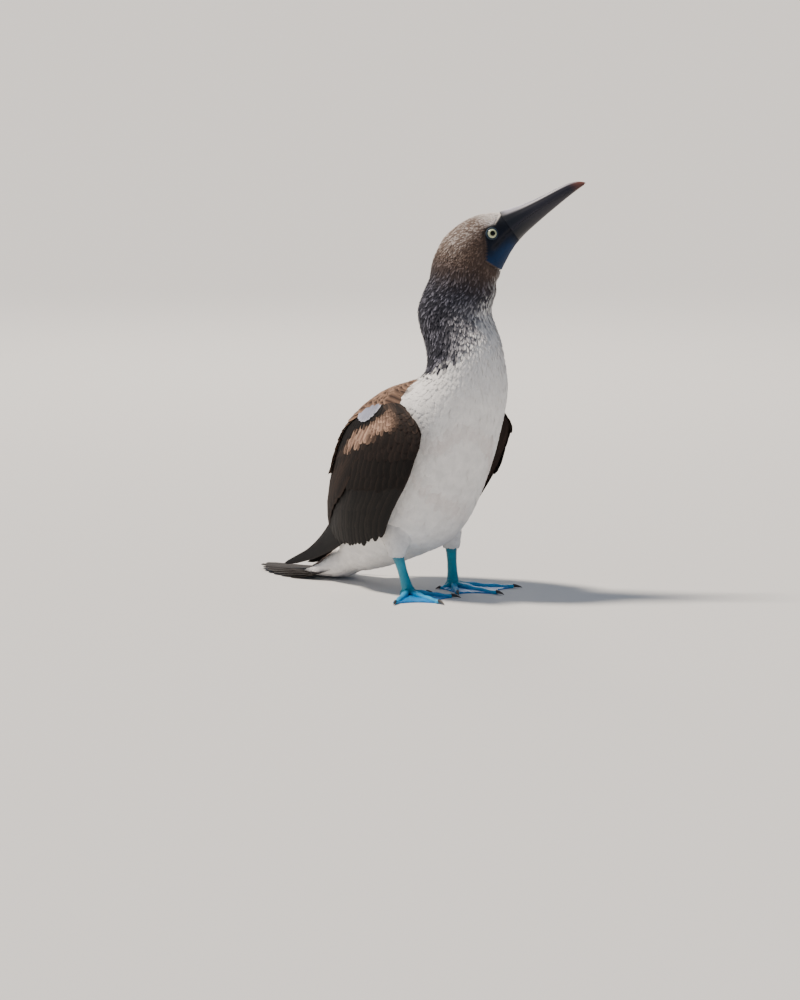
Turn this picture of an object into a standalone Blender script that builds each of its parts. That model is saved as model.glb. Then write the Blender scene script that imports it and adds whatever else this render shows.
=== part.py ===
# Blue footed booby, standing on flat ground with its neck stretched and its bill raised.
# A still, life-size model of the living bird, parted into named solids with thin clear gaps.
#
# Sizes below are in millimetres and are scaled to metres as each mesh is made.
# The bird faces -Y, its left side is +X, and the ground is z = 0. Everything is drawn about a
# point on the ground on the midline, at the ankles, and at the end it is moved so that the
# origin lies under the middle of the bounding box.

import math

import bmesh
import bpy
from mathutils import Matrix, Vector

METRE = 0.001
GAP = 0.3
UP = Vector((0, 0, 1))

# Driving sizes
CULMEN = 102.0              # bill from the forehead feathers to the tip
HEAD_PITCH = 35.0           # the mouth line points this far above level
HEAD_YAW = 42.0             # the head turns this far to the bird's left
EYE_POINT = (28.0, -77.5, 429.0)    # midway between the eyes
EYE_RADIUS = 7.6
EYE_SPREAD = 17.2           # eye centre to the head's midline
EYE_FORWARD = 20.0          # the eyes look this far forward of straight sideways
ANKLE = (48.0, 1.0, 47.0)   # top of the bare shank
HEEL = (40.0, -9.0, 9.0)    # where the shank meets the toes
TAIL_FEATHER = 142.0        # longest tail feather, clear of the body
VANE_THICK = 0.8
SEGMENTS = 24               # points round the body


def clear_scene():
    for obj in list(bpy.data.objects):
        bpy.data.objects.remove(obj, do_unlink=True)
    for child in list(bpy.context.scene.collection.children):
        bpy.context.scene.collection.children.unlink(child)


def make_collection(name):
    collection = bpy.data.collections.new(name)
    bpy.context.scene.collection.children.link(collection)
    return collection


def make_material(name, colour, roughness, metallic=0.0):
    material = bpy.data.materials.new(name)
    material.use_nodes = True
    shader = material.node_tree.nodes["Principled BSDF"]
    shader.inputs["Base Color"].default_value = (*colour, 1.0)
    shader.inputs["Roughness"].default_value = roughness
    shader.inputs["Metallic"].default_value = metallic
    return material


# Interpolation and lofting

def catmull(keys, t):
    """A smooth value through a list of tuples or vectors, at t in list positions."""
    last = len(keys) - 1
    i = min(int(t), last - 1)
    f = t - i
    p0, p1, p2, p3 = (keys[max(0, min(last, i + k))] for k in (-1, 0, 1, 2))
    return tuple(
        0.5 * (2 * b + (c - a) * f + (2 * a - 5 * b + 4 * c - d) * f * f
               + (3 * b - a - 3 * c + d) * f ** 3)
        for a, b, c, d in zip(p0, p1, p2, p3)
    )


def steps(start, end, count):
    return [start + (end - start) * i / (count - 1) for i in range(count)]


def bezier(p0, p1, p2, p3, t):
    s = 1 - t
    return p0 * s ** 3 + p1 * 3 * s * s * t + p2 * 3 * s * t * t + p3 * t ** 3


def loft(rings):
    """A closed mesh over rings of equal point counts, with flat ends."""
    bm = bmesh.new()
    made = [[bm.verts.new(p) for p in ring] for ring in rings]
    count = len(made[0])
    for low, high in zip(made, made[1:]):
        for i in range(count):
            j = (i + 1) % count
            bm.faces.new((low[i], low[j], high[j], high[i]))
    bm.faces.new(list(reversed(made[0])))
    bm.faces.new(made[-1])
    bmesh.ops.recalc_face_normals(bm, faces=bm.faces)
    return bm


def largest_body(bm):
    """Keeps the largest closed surface, whose faces meet edge to edge."""
    left = set(bm.faces)
    bodies = []
    while left:
        stack = [left.pop()]
        found = set(stack)
        while stack:
            for edge in stack.pop().edges:
                for face in edge.link_faces:
                    if face in left:
                        left.remove(face)
                        found.add(face)
                        stack.append(face)
        bodies.append(found)
    keep = max(bodies, key=lambda faces: sum(face.calc_area() for face in faces))
    bmesh.ops.delete(bm, geom=[f for f in bm.faces if f not in keep], context="FACES")


def mesh_from(bm, name):
    mesh = bpy.data.meshes.new(name)
    bm.to_mesh(mesh)
    bm.free()
    return mesh


def add_node(name, bm, material, smooth=40.0):
    """One named solid, in metres."""
    bmesh.ops.scale(bm, vec=(METRE,) * 3, verts=bm.verts)
    mesh = mesh_from(bm, name)
    mesh.materials.append(material)
    mesh.shade_smooth()
    mesh.set_sharp_from_angle(angle=math.radians(smooth))
    obj = bpy.data.objects.new(name, mesh)
    bird.objects.link(obj)
    return obj


def combine(operation, bm, others, solver="MANIFOLD"):
    """One Boolean of bm with closed bmeshes, through a collection of mesh objects."""
    helpers = make_collection("boolean_pieces")
    body = bpy.data.objects.new("boolean_body", mesh_from(bm, "boolean_body"))
    bpy.context.scene.collection.objects.link(body)
    for i, other in enumerate(others):
        obj = bpy.data.objects.new(f"boolean_piece_{i}", mesh_from(other, "boolean_piece"))
        obj.hide_render = True
        helpers.objects.link(obj)
    modifier = body.modifiers.new("join", "BOOLEAN")
    modifier.operation = operation
    modifier.solver = solver
    modifier.operand_type = "COLLECTION"
    modifier.collection = helpers
    graph = bpy.context.evaluated_depsgraph_get()
    mesh = bpy.data.meshes.new_from_object(body.evaluated_get(graph))
    result = bmesh.new()
    result.from_mesh(mesh)
    for obj in [*helpers.objects, body]:
        bpy.data.objects.remove(obj, do_unlink=True)
    bpy.data.collections.remove(helpers)
    largest_body(result)
    return result


# The trunk, neck and head are one surface through these sections, parted at chosen ones.
# A section has a front or underside point, a back or top point, a sideways direction,
# a half width and how much wider it is towards its back.

TORSO_KEYS = [
    # front y, front z, back y, back z, half width, wider at the back
    (106, 12, 119, 50, 28, 0.00),      # root of the tail
    (86, 16, 118, 72, 36, 0.00),
    (60, 23, 115, 94, 46, -0.01),
    (32, 33, 110, 115, 55, -0.02),
    (4, 44, 102, 136, 62, -0.02),
    (-24, 57, 92, 156, 67, 0.00),      # ankles
    (-46, 78, 81, 175, 69.5, 0.01),
    (-62, 104, 69, 194, 71, 0.02),
    (-76, 133, 56, 212, 71, 0.03),
    (-88, 162, 41, 229, 69, 0.04),     # shoulders
    (-97, 190, 23, 243, 66, 0.04),
    (-104, 214, 3, 254, 61, 0.03),
    (-109, 239, -13, 262, 55, 0.00),
    (-109, 262, -21, 271, 50, 0.00),   # root of the neck
]

NECK_KEYS = [
    # centre x, y, z, turn to the left, rise towards the back, half width, half depth
    (0.5, -63, 285, 8, 2, 46.5, 43.5),
    (1.5, -57, 303, 13, 1, 43.5, 44.5),
    (2.5, -49, 319, 18, 1, 41.5, 44.2),
    (3.5, -43.5, 335, 23, 3, 39.5, 42.6),
    (5.5, -46.5, 352, 29, 7, 38, 40.5),
    (8.0, -52, 367, 36, 12, 36.5, 39.0),
]

HEAD_KEYS = [
    # in the head's frame from the eye line: x forward and z up of the nape or crown,
    # x and z of the throat or chin, half width
    (-75.2, 10.1, -28.2, -51.3, 34.5),
    (-65.6, 16.8, -17.3, -45.6, 32.0),
    (-50.3, 25.0, -9.0, -40.6, 29.3),
    (-36.1, 28.2, -2.0, -37.0, 26.8),
    (-19.0, 28.6, 4.2, -33.7, 24.3),
    (-2.5, 25.9, 10.4, -31.0, 21.6),
    (10.4, 20.4, 16.6, -28.5, 18.8),
    (22.0, 14.4, 24.0, -26.4, 16.2),   # root of the bill
]

TORSO_END = len(TORSO_KEYS) - 1
NECK_SPLIT = TORSO_END + 3
HEAD_START = TORSO_END + len(NECK_KEYS) + 1
HEAD_END = TORSO_END + len(NECK_KEYS) + len(HEAD_KEYS)


def head_axes():
    yaw, pitch = math.radians(HEAD_YAW), math.radians(HEAD_PITCH)
    ahead = Vector((math.sin(yaw), -math.cos(yaw), 0))
    side = UP.cross(ahead)
    forward = ahead * math.cos(pitch) + UP * math.sin(pitch)
    top = UP * math.cos(pitch) - ahead * math.sin(pitch)
    return forward, side, top


def head_point(x, y, z):
    """A point given in the head's frame: x forward, y to the left, z up, from the eye line."""
    forward, side, top = head_axes()
    return Vector(EYE_POINT) + forward * x + side * y + top * z


def body_keys():
    keys = []
    for fy, fz, by, bz, width, egg in TORSO_KEYS:
        keys.append((0, fy, fz, 0, by, bz, 1, 0, 0, width, egg))
    for x, y, z, yaw, rise, width, depth in NECK_KEYS:
        turn, tilt = math.radians(yaw), math.radians(rise)
        centre = Vector((x, y, z))
        back = Vector((-math.sin(turn), math.cos(turn), 0)) * math.cos(tilt) + UP * math.sin(tilt)
        side = Vector((math.cos(turn), math.sin(turn), 0))
        keys.append((*(centre - back * depth), *(centre + back * depth), *side, width, 0))
    side = head_axes()[1]
    for xt, zt, xb, zb, width in HEAD_KEYS:
        keys.append((*head_point(xb, 0, zb), *head_point(xt, 0, zt), *side, width, 0))
    return keys


BODY_KEYS = body_keys()


def body_ring(t, grow=0.0, count=SEGMENTS):
    value = catmull(BODY_KEYS, t)
    front, back = Vector(value[0:3]), Vector(value[3:6])
    side = Vector(value[6:9]).normalized()
    width, egg = value[9] + grow, value[10]
    centre, half = (front + back) / 2, (back - front) / 2
    half *= (half.length + grow) / half.length
    ring = []
    for i in range(count):
        angle = 2 * math.pi * i / count
        spread = width * (1 + egg * math.cos(angle))
        ring.append(centre + half * math.cos(angle) + side * spread * math.sin(angle))
    return ring


def ring_axis(t):
    """The way the body runs at section t, square to the section."""
    value = catmull(BODY_KEYS, t)
    half = Vector(value[3:6]) - Vector(value[0:3])
    return Vector(value[6:9]).cross(half).normalized()


def body_length(start, end, rings, grow=0.0, back_off=(0.0, GAP)):
    """The body between two sections. back_off moves its end faces in, to part it from the next."""
    made = [body_ring(t, grow) for t in steps(start, end, rings)]
    for ring, t, distance, sign in (
        (made[0], start, back_off[0], 1), (made[-1], end, back_off[1], -1)
    ):
        axis = ring_axis(t)
        following = made[1][0] - made[0][0]
        if axis.dot(following) < 0:
            axis = -axis
        for i, point in enumerate(ring):
            ring[i] = point + axis * sign * distance
    return loft(made)


def make_torso():
    add_node("torso", body_length(0, TORSO_END, 15), white_feather)


def torso_cutter():
    """The trunk grown past the clear gap, and run a little past both its ends."""
    return body_length(0, TORSO_END, 15, grow=2 * GAP, back_off=(-GAP, -1.0))


def make_neck():
    add_node("neck_lower", body_length(TORSO_END, NECK_SPLIT, 5), neck_feather)
    add_node("neck_upper", body_length(NECK_SPLIT, HEAD_START, 6), neck_feather)


# The head, its eyes and lids, and the bill

def sphere(centre, radius, across=14, around=10):
    bm = bmesh.new()
    bmesh.ops.create_uvsphere(bm, u_segments=across, v_segments=around, radius=radius)
    bmesh.ops.translate(bm, vec=centre, verts=bm.verts)
    return bm


def eye_direction(side):
    forward, left, top = head_axes()
    turn = math.radians(EYE_FORWARD)
    return (left * side * math.cos(turn) + forward * math.sin(turn)).normalized()


def eye_centre(side):
    return head_point(0, side * EYE_SPREAD, 0)


def turned_ring(centre, axis, major, minor, around=16, across=6):
    """A torus about the axis."""
    axis = axis.normalized()
    first = axis.orthogonal().normalized()
    second = axis.cross(first)
    rings = []
    for i in range(around):
        angle = 2 * math.pi * i / around
        out = first * math.cos(angle) + second * math.sin(angle)
        rings.append([
            centre + out * (major + minor * math.cos(a)) + axis * minor * math.sin(a)
            for a in (2 * math.pi * j / across for j in range(across))
        ])
    bm = bmesh.new()
    made = [[bm.verts.new(p) for p in ring] for ring in rings]
    for i in range(around):
        low, high = made[i], made[(i + 1) % around]
        for j in range(across):
            k = (j + 1) % across
            bm.faces.new((low[j], low[k], high[k], high[j]))
    bmesh.ops.recalc_face_normals(bm, faces=bm.faces)
    return bm


LID_SIZE = {"major": 6.5, "minor": 1.3, "outward": 4.7}
MOUTH_LINE = [
    # x forward and z up in the head's frame, from the corner of the gape to the bill tip
    (-5.0, -14.5), (24.0, -9.8), (45.0, -9.4), (65.0, -9.8), (85.0, -11.2), (104.0, -13.2),
    (117.0, -15.2), (123.0, -16.2),
]


def mouth_height(x):
    for (x0, z0), (x1, z1) in zip(MOUTH_LINE, MOUTH_LINE[1:]):
        if x <= x1:
            return z0 + (z1 - z0) * (x - x0) / (x1 - x0)
    return MOUTH_LINE[-1][1]


def gape_cutter(side):
    """A wedge that scores the corner of the mouth into the cheek."""
    rings = []
    for x, width in ((-5.0, 25.0), (8.0, 21.0), (26.0, 16.4)):
        z = mouth_height(x)
        depth = 1.4
        inner = head_point(x, side * (width - depth), z)
        rings.append([
            inner,
            head_point(x, side * (width + 6), z + 0.9),
            head_point(x, side * (width + 6), z - 0.9),
        ])
    return loft(rings)


def make_head():
    head = body_length(HEAD_START, HEAD_END, 13)
    lids = [
        turned_ring(
            eye_centre(side) + eye_direction(side) * LID_SIZE["outward"],
            eye_direction(side), LID_SIZE["major"], LID_SIZE["minor"],
        )
        for side in (-1, 1)
    ]
    head = combine("UNION", head, lids)
    cutters = [sphere(eye_centre(side), EYE_RADIUS + GAP) for side in (-1, 1)]
    cutters += [gape_cutter(side) for side in (-1, 1)]
    head = combine("DIFFERENCE", head, cutters)
    add_node("head", head, head_feather)
    for name, side in (("eye_right", -1), ("eye_left", 1)):
        add_node(name, sphere(eye_centre(side), EYE_RADIUS, 14, 9), eye_surface)


BILL_KEYS = [
    # x forward, z of the culmen, z of the lower edge, half width
    (24.3, 13.9, -26.2, 16.6),
    (34.0, 10.6, -24.2, 13.2),
    (47.0, 6.6, -22.5, 10.7),
    (62.0, 3.4, -20.8, 8.9),
    (78.0, 0.7, -19.3, 7.3),
    (94.0, -1.7, -18.0, 5.7),
    (107.0, -4.3, -17.2, 4.4),
    (116.0, -8.0, -16.9, 3.1),
    (121.0, -11.4, -16.9, 2.0),
]
BILL_TIP = (124.5, -16.0)


def half_section(x, base, peak, width, flank, count):
    """An arch from one side to the other over the mouth line. flank below 1 is fuller."""
    ring = []
    for i in range(count):
        angle = math.pi * i / (count - 1)
        across = math.cos(angle)
        rise = math.sin(angle) ** flank
        ring.append(head_point(x, -width * across, base + (peak - base) * rise))
    return ring


def bill_half(upper):
    rings = []
    for x, culmen, under, width in BILL_KEYS:
        mouth = mouth_height(x)
        base = mouth + GAP / 2 if upper else mouth - GAP / 2
        peak = culmen if upper else under
        rings.append(half_section(x, base, peak, width, 0.85 if upper else 0.8, 9))
    tip_x, tip_z = BILL_TIP
    if upper:
        rings.append(half_section(tip_x, tip_z - 1.0, tip_z + 1.0, 0.7, 0.9, 9))
    else:
        rings.append(half_section(tip_x - 2.4, tip_z - 0.7, tip_z - 1.8, 0.8, 0.9, 9))
    return loft(rings)


def make_bill():
    add_node("bill_upper", bill_half(True), bill_horn)
    add_node("bill_lower", bill_half(False), bill_horn)


# Vanes: thin feathers with the same triangles on both faces

def vane(centres, outward, widths, thick=VANE_THICK, lean=0.0):
    """A feather along centres. outward gives the way its upper face looks at each centre,
    widths are half widths, and lean tips one edge over the next feather."""
    bm = bmesh.new()
    rows = []
    for i, centre in enumerate(centres):
        ahead = centres[min(i + 1, len(centres) - 1)] - centres[max(i - 1, 0)]
        ahead.normalize()
        up = outward[i] - ahead * outward[i].dot(ahead)
        up.normalize()
        across = ahead.cross(up)
        row = []
        for s in (-1, 1):
            middle = centre + across * s * widths[i] + up * s * widths[i] * lean
            row.append((bm.verts.new(middle + up * thick / 2),
                        bm.verts.new(middle - up * thick / 2)))
        rows.append(row)
    for low, high in zip(rows, rows[1:]):
        (a, b), (d, c) = low, high
        bm.faces.new((a[0], b[0], c[0]))
        bm.faces.new((a[0], c[0], d[0]))
        bm.faces.new((a[1], c[1], b[1]))
        bm.faces.new((a[1], d[1], c[1]))
        for near, far in ((a, d), (b, c)):
            bm.faces.new((near[0], far[0], far[1]))
            bm.faces.new((near[0], far[1], near[1]))
    for a, b in (rows[0], rows[-1]):
        bm.faces.new((a[0], a[1], b[1]))
        bm.faces.new((a[0], b[1], b[0]))
    bmesh.ops.recalc_face_normals(bm, faces=bm.faces)
    return bm


def vane_widths(count, half, root=0.55, point=0.25):
    """Half widths from a narrow root, full over the middle, to a blunt point."""
    widths = []
    for i in range(count):
        t = i / (count - 1)
        swell = root + (1 - root) * min(1.0, t / 0.3)
        taper = 1.0 if t < 0.62 else 1 - (1 - point) * ((t - 0.62) / 0.38) ** 1.6
        widths.append(half * swell * taper)
    return widths


# The wings, folded and a little drooped. The outer face of a wing is a sheet between a
# front edge and a rear edge, bowed outwards.

WING_FRONT = [
    (62, -10, 230), (76, -48, 216), (80, -65, 196), (82, -56, 170),
    (82, -44, 144), (81, -26, 119), (78, -8, 92), (70, 6, 58),
]
WING_REAR = [
    (34, 50, 236), (42, 68, 217), (47, 83, 194), (48, 95, 168),
    (46, 107, 138), (43, 116, 110), (38, 121, 80), (33, 120, 46),
]
WING_BOW = [8, 13, 17, 19, 19, 18, 16, 12]
WING_TIP = Vector((9, 222, 10.5))


def sheet_point(a, b, lift=0.0):
    """A point on the right wing's sheet: a from front to rear, b from top to bottom.
    lift is outwards. The sheet is worked out for the left side and turned over later."""
    t = max(0.0, min(1.0, b)) * (len(WING_FRONT) - 1)
    front = Vector(catmull(WING_FRONT, t))
    rear = Vector(catmull(WING_REAR, t))
    bow = catmull([(v,) for v in WING_BOW], t)[0]
    along = rear - front
    out = along.cross(UP).normalized()
    if out.x < 0:
        out = -out
    point = front + along * a + out * (4 * bow * a * (1 - a))
    slope = 4 * bow * (1 - 2 * a)
    normal = (out * along.length - along.normalized() * slope).normalized()
    return point + normal * lift, normal


def sheet_path(start, end, count, lift0, lift1):
    """Points and outward directions along a straight line on the sheet."""
    centres, normals = [], []
    for t in steps(0.0, 1.0, count):
        a = start[0] + (end[0] - start[0]) * t
        b = start[1] + (end[1] - start[1]) * t
        point, normal = sheet_point(a, b, lift0 + (lift1 - lift0) * t)
        centres.append(point)
        normals.append(normal)
    return centres, normals


def wing_pad():
    """The arm and the small feathers that fill the space between the sheet and the flank,
    rounded over at the top into the back."""
    rows = [(0.0, 27.0, 3.0), (0.0, 13.0, 6.5), (0.0, 4.0, 4.0)]
    rows += [(b, 0.0, 0.0) for b in (0.04, 0.15, 0.28, 0.42, 0.56, 0.70, 0.82)]
    rings = []
    for b, inward, rise in rows:
        outer, inner = [], []
        for a in steps(0.0, 1.0, 7):
            edge = math.sin(math.pi * max(0.02, min(0.98, a))) ** 0.4
            point, normal = sheet_point(a, b)
            point = point - normal * inward + UP * rise * edge
            core = Vector((4, 12, point.z))
            fill = 0.40 * (1 - max(0.0, b - 0.30) / 0.54)
            swell = max(-1.7, 3.6 * edge * (1 - b / 0.46))
            outer.append(point + normal * (swell - 1.6))
            inner.append(point - normal * 3.0 + (core - point) * fill)
        rings.append(outer + list(reversed(inner)))
    return loft(rings)


TIERS = [
    # name, feathers, root b, tip b, root lift, tip lift, half width,
    # first and last root a, first and last tip a, stations
    ("secondary", 9, 0.30, 1.00, -1.4, -1.4, 10.6, (0.06, 0.95), (0.06, 0.955), 4),
    ("greater", 7, 0.26, 0.62, 0.0, 0.9, 12.6, (0.08, 0.94), (0.07, 0.95), 4),
    ("median", 7, 0.17, 0.42, 0.9, 2.8, 12.4, (0.09, 0.93), (0.07, 0.94), 4),
    ("scapular", 6, 0.015, 0.21, 1.6, 4.6, 14.0, (0.12, 0.90), (0.10, 0.93), 4),
]


def wing_vanes():
    pieces = []
    for _, count, b0, b1, lift0, lift1, half, roots, tips, stations in TIERS:
        for i in range(count):
            share = i / (count - 1)
            a0 = roots[0] + (roots[1] - roots[0]) * share
            a1 = tips[0] + (tips[1] - tips[0]) * share
            end = b1 + 0.012 * math.sin(2.4 * i) - 0.05 * (abs(share - 0.45) * 1.8) ** 2
            centres, normals = sheet_path((a0, b0), (a1, end), stations, lift0, lift1)
            widths = vane_widths(stations, half, root=0.7, point=0.34)
            pieces.append(vane(centres, normals, widths, lean=-0.11))
    return pieces


PRIMARIES = 6


def primary_vanes(tip):
    """The long outer flight feathers: from the wrist, under the others, to the wing tip."""
    pieces = []
    for i in range(PRIMARIES):
        share = i / (PRIMARIES - 1)
        root, _ = sheet_point(0.06 + 0.12 * share, 0.32 + 0.05 * share, -4.4)
        turn, _ = sheet_point(0.16 + 0.26 * share, 0.84 - 0.07 * share, -6.2)
        pull, _ = sheet_point(0.72 + 0.14 * share, 1.0 - 0.13 * share, -7.0)
        end = tip + Vector((1.4, -17.5, 6.4)) * i + Vector((0.6, 0, 0.7)) * i * i
        stations = 8
        centres, normals = [], []
        for t in steps(0.0, 1.0, stations):
            centres.append(bezier(root, turn, pull, end, t))
            normals.append(Vector((1, 0.28 - 0.1 * t, 0.10 + 0.35 * t)).normalized())
        widths = vane_widths(stations, 11.0 - 0.4 * i, root=0.6, point=0.22)
        pieces.append(vane(centres, normals, widths, lean=-0.10))
    return pieces


def mirrored(bm):
    bmesh.ops.scale(bm, vec=(-1, 1, 1), verts=bm.verts)
    bmesh.ops.reverse_faces(bm, faces=bm.faces)
    return bm


def make_wing(name, side, tip):
    pieces = [*wing_vanes(), *primary_vanes(tip)]
    wing = combine("UNION", wing_pad(), pieces)
    wing = combine("DIFFERENCE", wing, [torso_cutter()])
    if side < 0:
        mirrored(wing)
    add_node(name, wing, wing_feather, smooth=30.0)


# The tail: a root wedge under the tail coverts, and stiff feathers that bend to the ground

TAIL_KEYS = [
    # under y, under z, upper y, upper z, half width
    (106, 12, 119, 50, 28.0),
    (122, 5.0, 134, 39, 28.5),
    (139, 0.2, 150, 28, 27.5),
    (158, -0.6, 165, 18.5, 24.5),
    (176, 1.4, 179, 10.5, 18.0),
    (186, 3.2, 187, 7.2, 10.0),
]
TAIL_PAIRS = 6


def tail_root():
    rings = []
    for t in steps(0.0, len(TAIL_KEYS) - 1, 8):
        uy, uz, ty, tz, width = catmull(TAIL_KEYS, t)
        under, upper = Vector((0, uy, uz)), Vector((0, ty, tz))
        centre, half = (under + upper) / 2, (upper - under) / 2
        rings.append([
            centre + half * math.cos(a) + Vector((width * math.sin(a), 0, 0))
            for a in (2 * math.pi * i / 16 for i in range(16))
        ])
    axis = Vector((0, 0.94, -0.33))
    rings[0] = [p + axis * GAP for p in rings[0]]
    return loft(rings)


def tail_vanes():
    pieces = []
    for pair in range(TAIL_PAIRS):
        length = TAIL_FEATHER * (1 - 0.075 * pair - 0.006 * pair * pair)
        for side in (-1, 1):
            spread = side * math.radians(0.9 + 2.7 * pair)
            root = Vector((side * (2.5 + 3.0 * pair), 121, 27 - 1.4 * pair))
            layer = 5.4 - 0.95 * pair + (0.45 if side > 0 else 0)
            centres, normals = [], []
            stations = 6
            for t in steps(0.0, 1.0, stations):
                run = length * t
                fall = (1 - math.exp(-run / 36)) / (1 - math.exp(-length / 36))
                centres.append(Vector((
                    root.x + math.sin(spread) * run,
                    root.y + math.cos(spread) * run,
                    root.z - (root.z - layer) * fall,
                )))
                normals.append(Vector((side * 0.05, 0, 1)).normalized())
            widths = vane_widths(stations, 11.5 - 0.5 * pair, root=0.6, point=0.3)
            pieces.append(vane(centres, normals, widths))
    return pieces


def below_ground():
    bm = bmesh.new()
    bmesh.ops.create_cube(bm, size=1.0)
    bmesh.ops.scale(bm, vec=(600, 900, 100), verts=bm.verts)
    bmesh.ops.translate(bm, vec=(0, 50, -50), verts=bm.verts)
    return bm


def make_tail():
    tail = combine("UNION", tail_root(), tail_vanes())
    tail = combine("DIFFERENCE", tail, [below_ground()])
    add_node("tail", tail, tail_feather, smooth=30.0)


# Legs and feet

def tube(points, radii, squash=1.0, count=12, ahead=Vector((0, -1, 0))):
    """A tube through points. radii are sideways half widths, squash the depth over the width."""
    rings = []
    for i, point in enumerate(points):
        along = points[min(i + 1, len(points) - 1)] - points[max(i - 1, 0)]
        along.normalize()
        deep = (ahead - along * ahead.dot(along)).normalized()
        side = along.cross(deep)
        rings.append([
            point + side * radii[i] * math.cos(a) + deep * radii[i] * squash * math.sin(a)
            for a in (2 * math.pi * k / count for k in range(count))
        ])
    return loft(rings)


def leg_point(side, t, shift=0.0):
    """From the ankle at t = 0 to the heel at t = 1."""
    top, low = Vector(ANKLE), Vector(HEEL)
    point = top.lerp(low, t) + (low - top).normalized() * shift
    return Vector((point.x * side, point.y, point.z))


def make_leg(name, side):
    thigh_points = [
        Vector((36 * side, 20, 96)), Vector((40 * side, 12, 80)),
        Vector((44 * side, 5, 65)), leg_point(side, 0.0, -6.0), leg_point(side, 0.0, 0.0),
    ]
    thigh = tube(thigh_points, [23, 20.5, 16, 11, 8.2], squash=1.15, count=18)
    thigh = combine("DIFFERENCE", thigh, [torso_cutter()])
    add_node("thigh_" + name, thigh, white_feather)
    shank_shares = (0.0, 0.08, 0.2, 0.45, 0.7, 0.88, 1.0)
    points = [leg_point(side, t, GAP if t == 0 else 0) for t in shank_shares]
    shank = tube(points, [6.6, 6.4, 5.5, 4.9, 5.2, 6.0, 6.6], squash=1.25, count=14)
    shank_end = Vector((HEEL[0] * side, HEEL[1], HEEL[2]))
    lift = 0.25
    for vert in shank.verts:
        if vert.co.z < shank_end.z + lift:
            vert.co.z = shank_end.z + lift
    add_node("shank_" + name, shank, blue_skin)


TOES = [
    # name, turn outward from the middle toe, length to the claw, claw length, root and tip radius
    ("outer", 40, 73, 10, 4.1, 2.7),
    ("middle", 0, 77, 12, 4.3, 2.9),
    ("inner", -37, 57, 11, 4.1, 2.8),
    ("hind", -84, 24, 7, 3.6, 2.2),
]
WEB_THICK = 1.7
FOOT_TURN = {"right": 20.0, "left": -6.0}      # middle toe outward of straight ahead


def toe_direction(name, side, turn):
    angle = math.radians(FOOT_TURN[name] + turn)
    return Vector((side * math.sin(angle), -math.cos(angle), 0))


def web_outline(name, side):
    """The web's edge: from toe tip to toe tip in hollow curves, and back to the heel."""
    heel = Vector((HEEL[0] * side, HEEL[1], 0))
    tips = [heel + toe_direction(name, side, turn) * (length - 1)
            for _, turn, length, _, _, _ in TOES]
    outline = []
    for near, far in zip(tips, tips[1:]):
        middle = (near + far) / 2
        pull = (heel - middle) * 0.13
        for t in steps(0.0, 1.0, 7)[:-1]:
            outline.append(near.lerp(far, t) + pull * 4 * t * (1 - t))
    outline.append(tips[-1])
    outward = toe_direction(name, side, 90)
    outline.append(heel - toe_direction(name, side, 0) * 6 - outward * 5)
    outline.append(heel - toe_direction(name, side, 0) * 7 + outward * 3)
    outline.append(heel + outward * 6)
    return outline


def flat_plate(outline, low, high):
    return loft([[p + UP * low for p in outline], [p + UP * high for p in outline]])


def toe_piece(heel, direction, length, root, tip):
    """A toe with three knuckles, high at the heel and low at the claw."""
    points, radii = [], []
    for t in steps(0.0, 1.0, 8):
        radius = root + (tip - root) * t
        knuckle = 1 + 0.10 * math.cos(6 * math.pi * t) * min(1, 6 * t)
        height = radius * 0.62 + 2.6 * (1 - t) ** 3
        points.append(heel + direction * length * t + UP * height)
        radii.append(radius * knuckle)
    return tube(points, radii, squash=0.9, count=8, ahead=UP)


def make_foot(name, side):
    heel = Vector((HEEL[0] * side, HEEL[1], 0))
    plate = flat_plate(web_outline(name, side), -1.0, WEB_THICK)
    pieces = []
    for _, turn, length, _, root, tip in TOES:
        direction = toe_direction(name, side, turn)
        pieces.append(toe_piece(heel, direction, length, root, tip))
    heel_points = [heel + UP * z for z in (-2.0, 2.0, 5.5, HEEL[2] - 0.05)]
    pieces.append(tube(heel_points, [9.0, 9.0, 7.8, 6.4], squash=1.2, count=14))
    foot = combine("UNION", plate, pieces)
    foot = combine("DIFFERENCE", foot, [below_ground()])
    add_node("foot_" + name, foot, blue_skin)
    for toe, turn, length, claw, _, tip in TOES:
        direction = toe_direction(name, side, turn)
        radius = tip * 0.62
        points, radii = [], []
        for t in steps(0.0, 1.0, 4):
            drop = (tip * 0.95 - 0.7) * t * t
            points.append(heel + direction * (length + GAP + claw * t) + UP * (tip * 1.15 - drop))
            radii.append(radius * (1 - t) ** 0.8 + 0.35)
        add_node(f"claw_{name}_{toe}", tube(points, radii, 1.1, 6, UP), claw_horn)


def centre_on_ground():
    """Moves every solid alike, so that the origin is at the bottom centre of the whole."""
    points = [vert.co for obj in bird.objects for vert in obj.data.vertices]
    low = [min(p[k] for p in points) for k in range(3)]
    high = [max(p[k] for p in points) for k in range(3)]
    shift = Vector((-(low[0] + high[0]) / 2, -(low[1] + high[1]) / 2, -low[2]))
    for obj in bird.objects:
        obj.data.transform(Matrix.Translation(shift))


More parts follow.
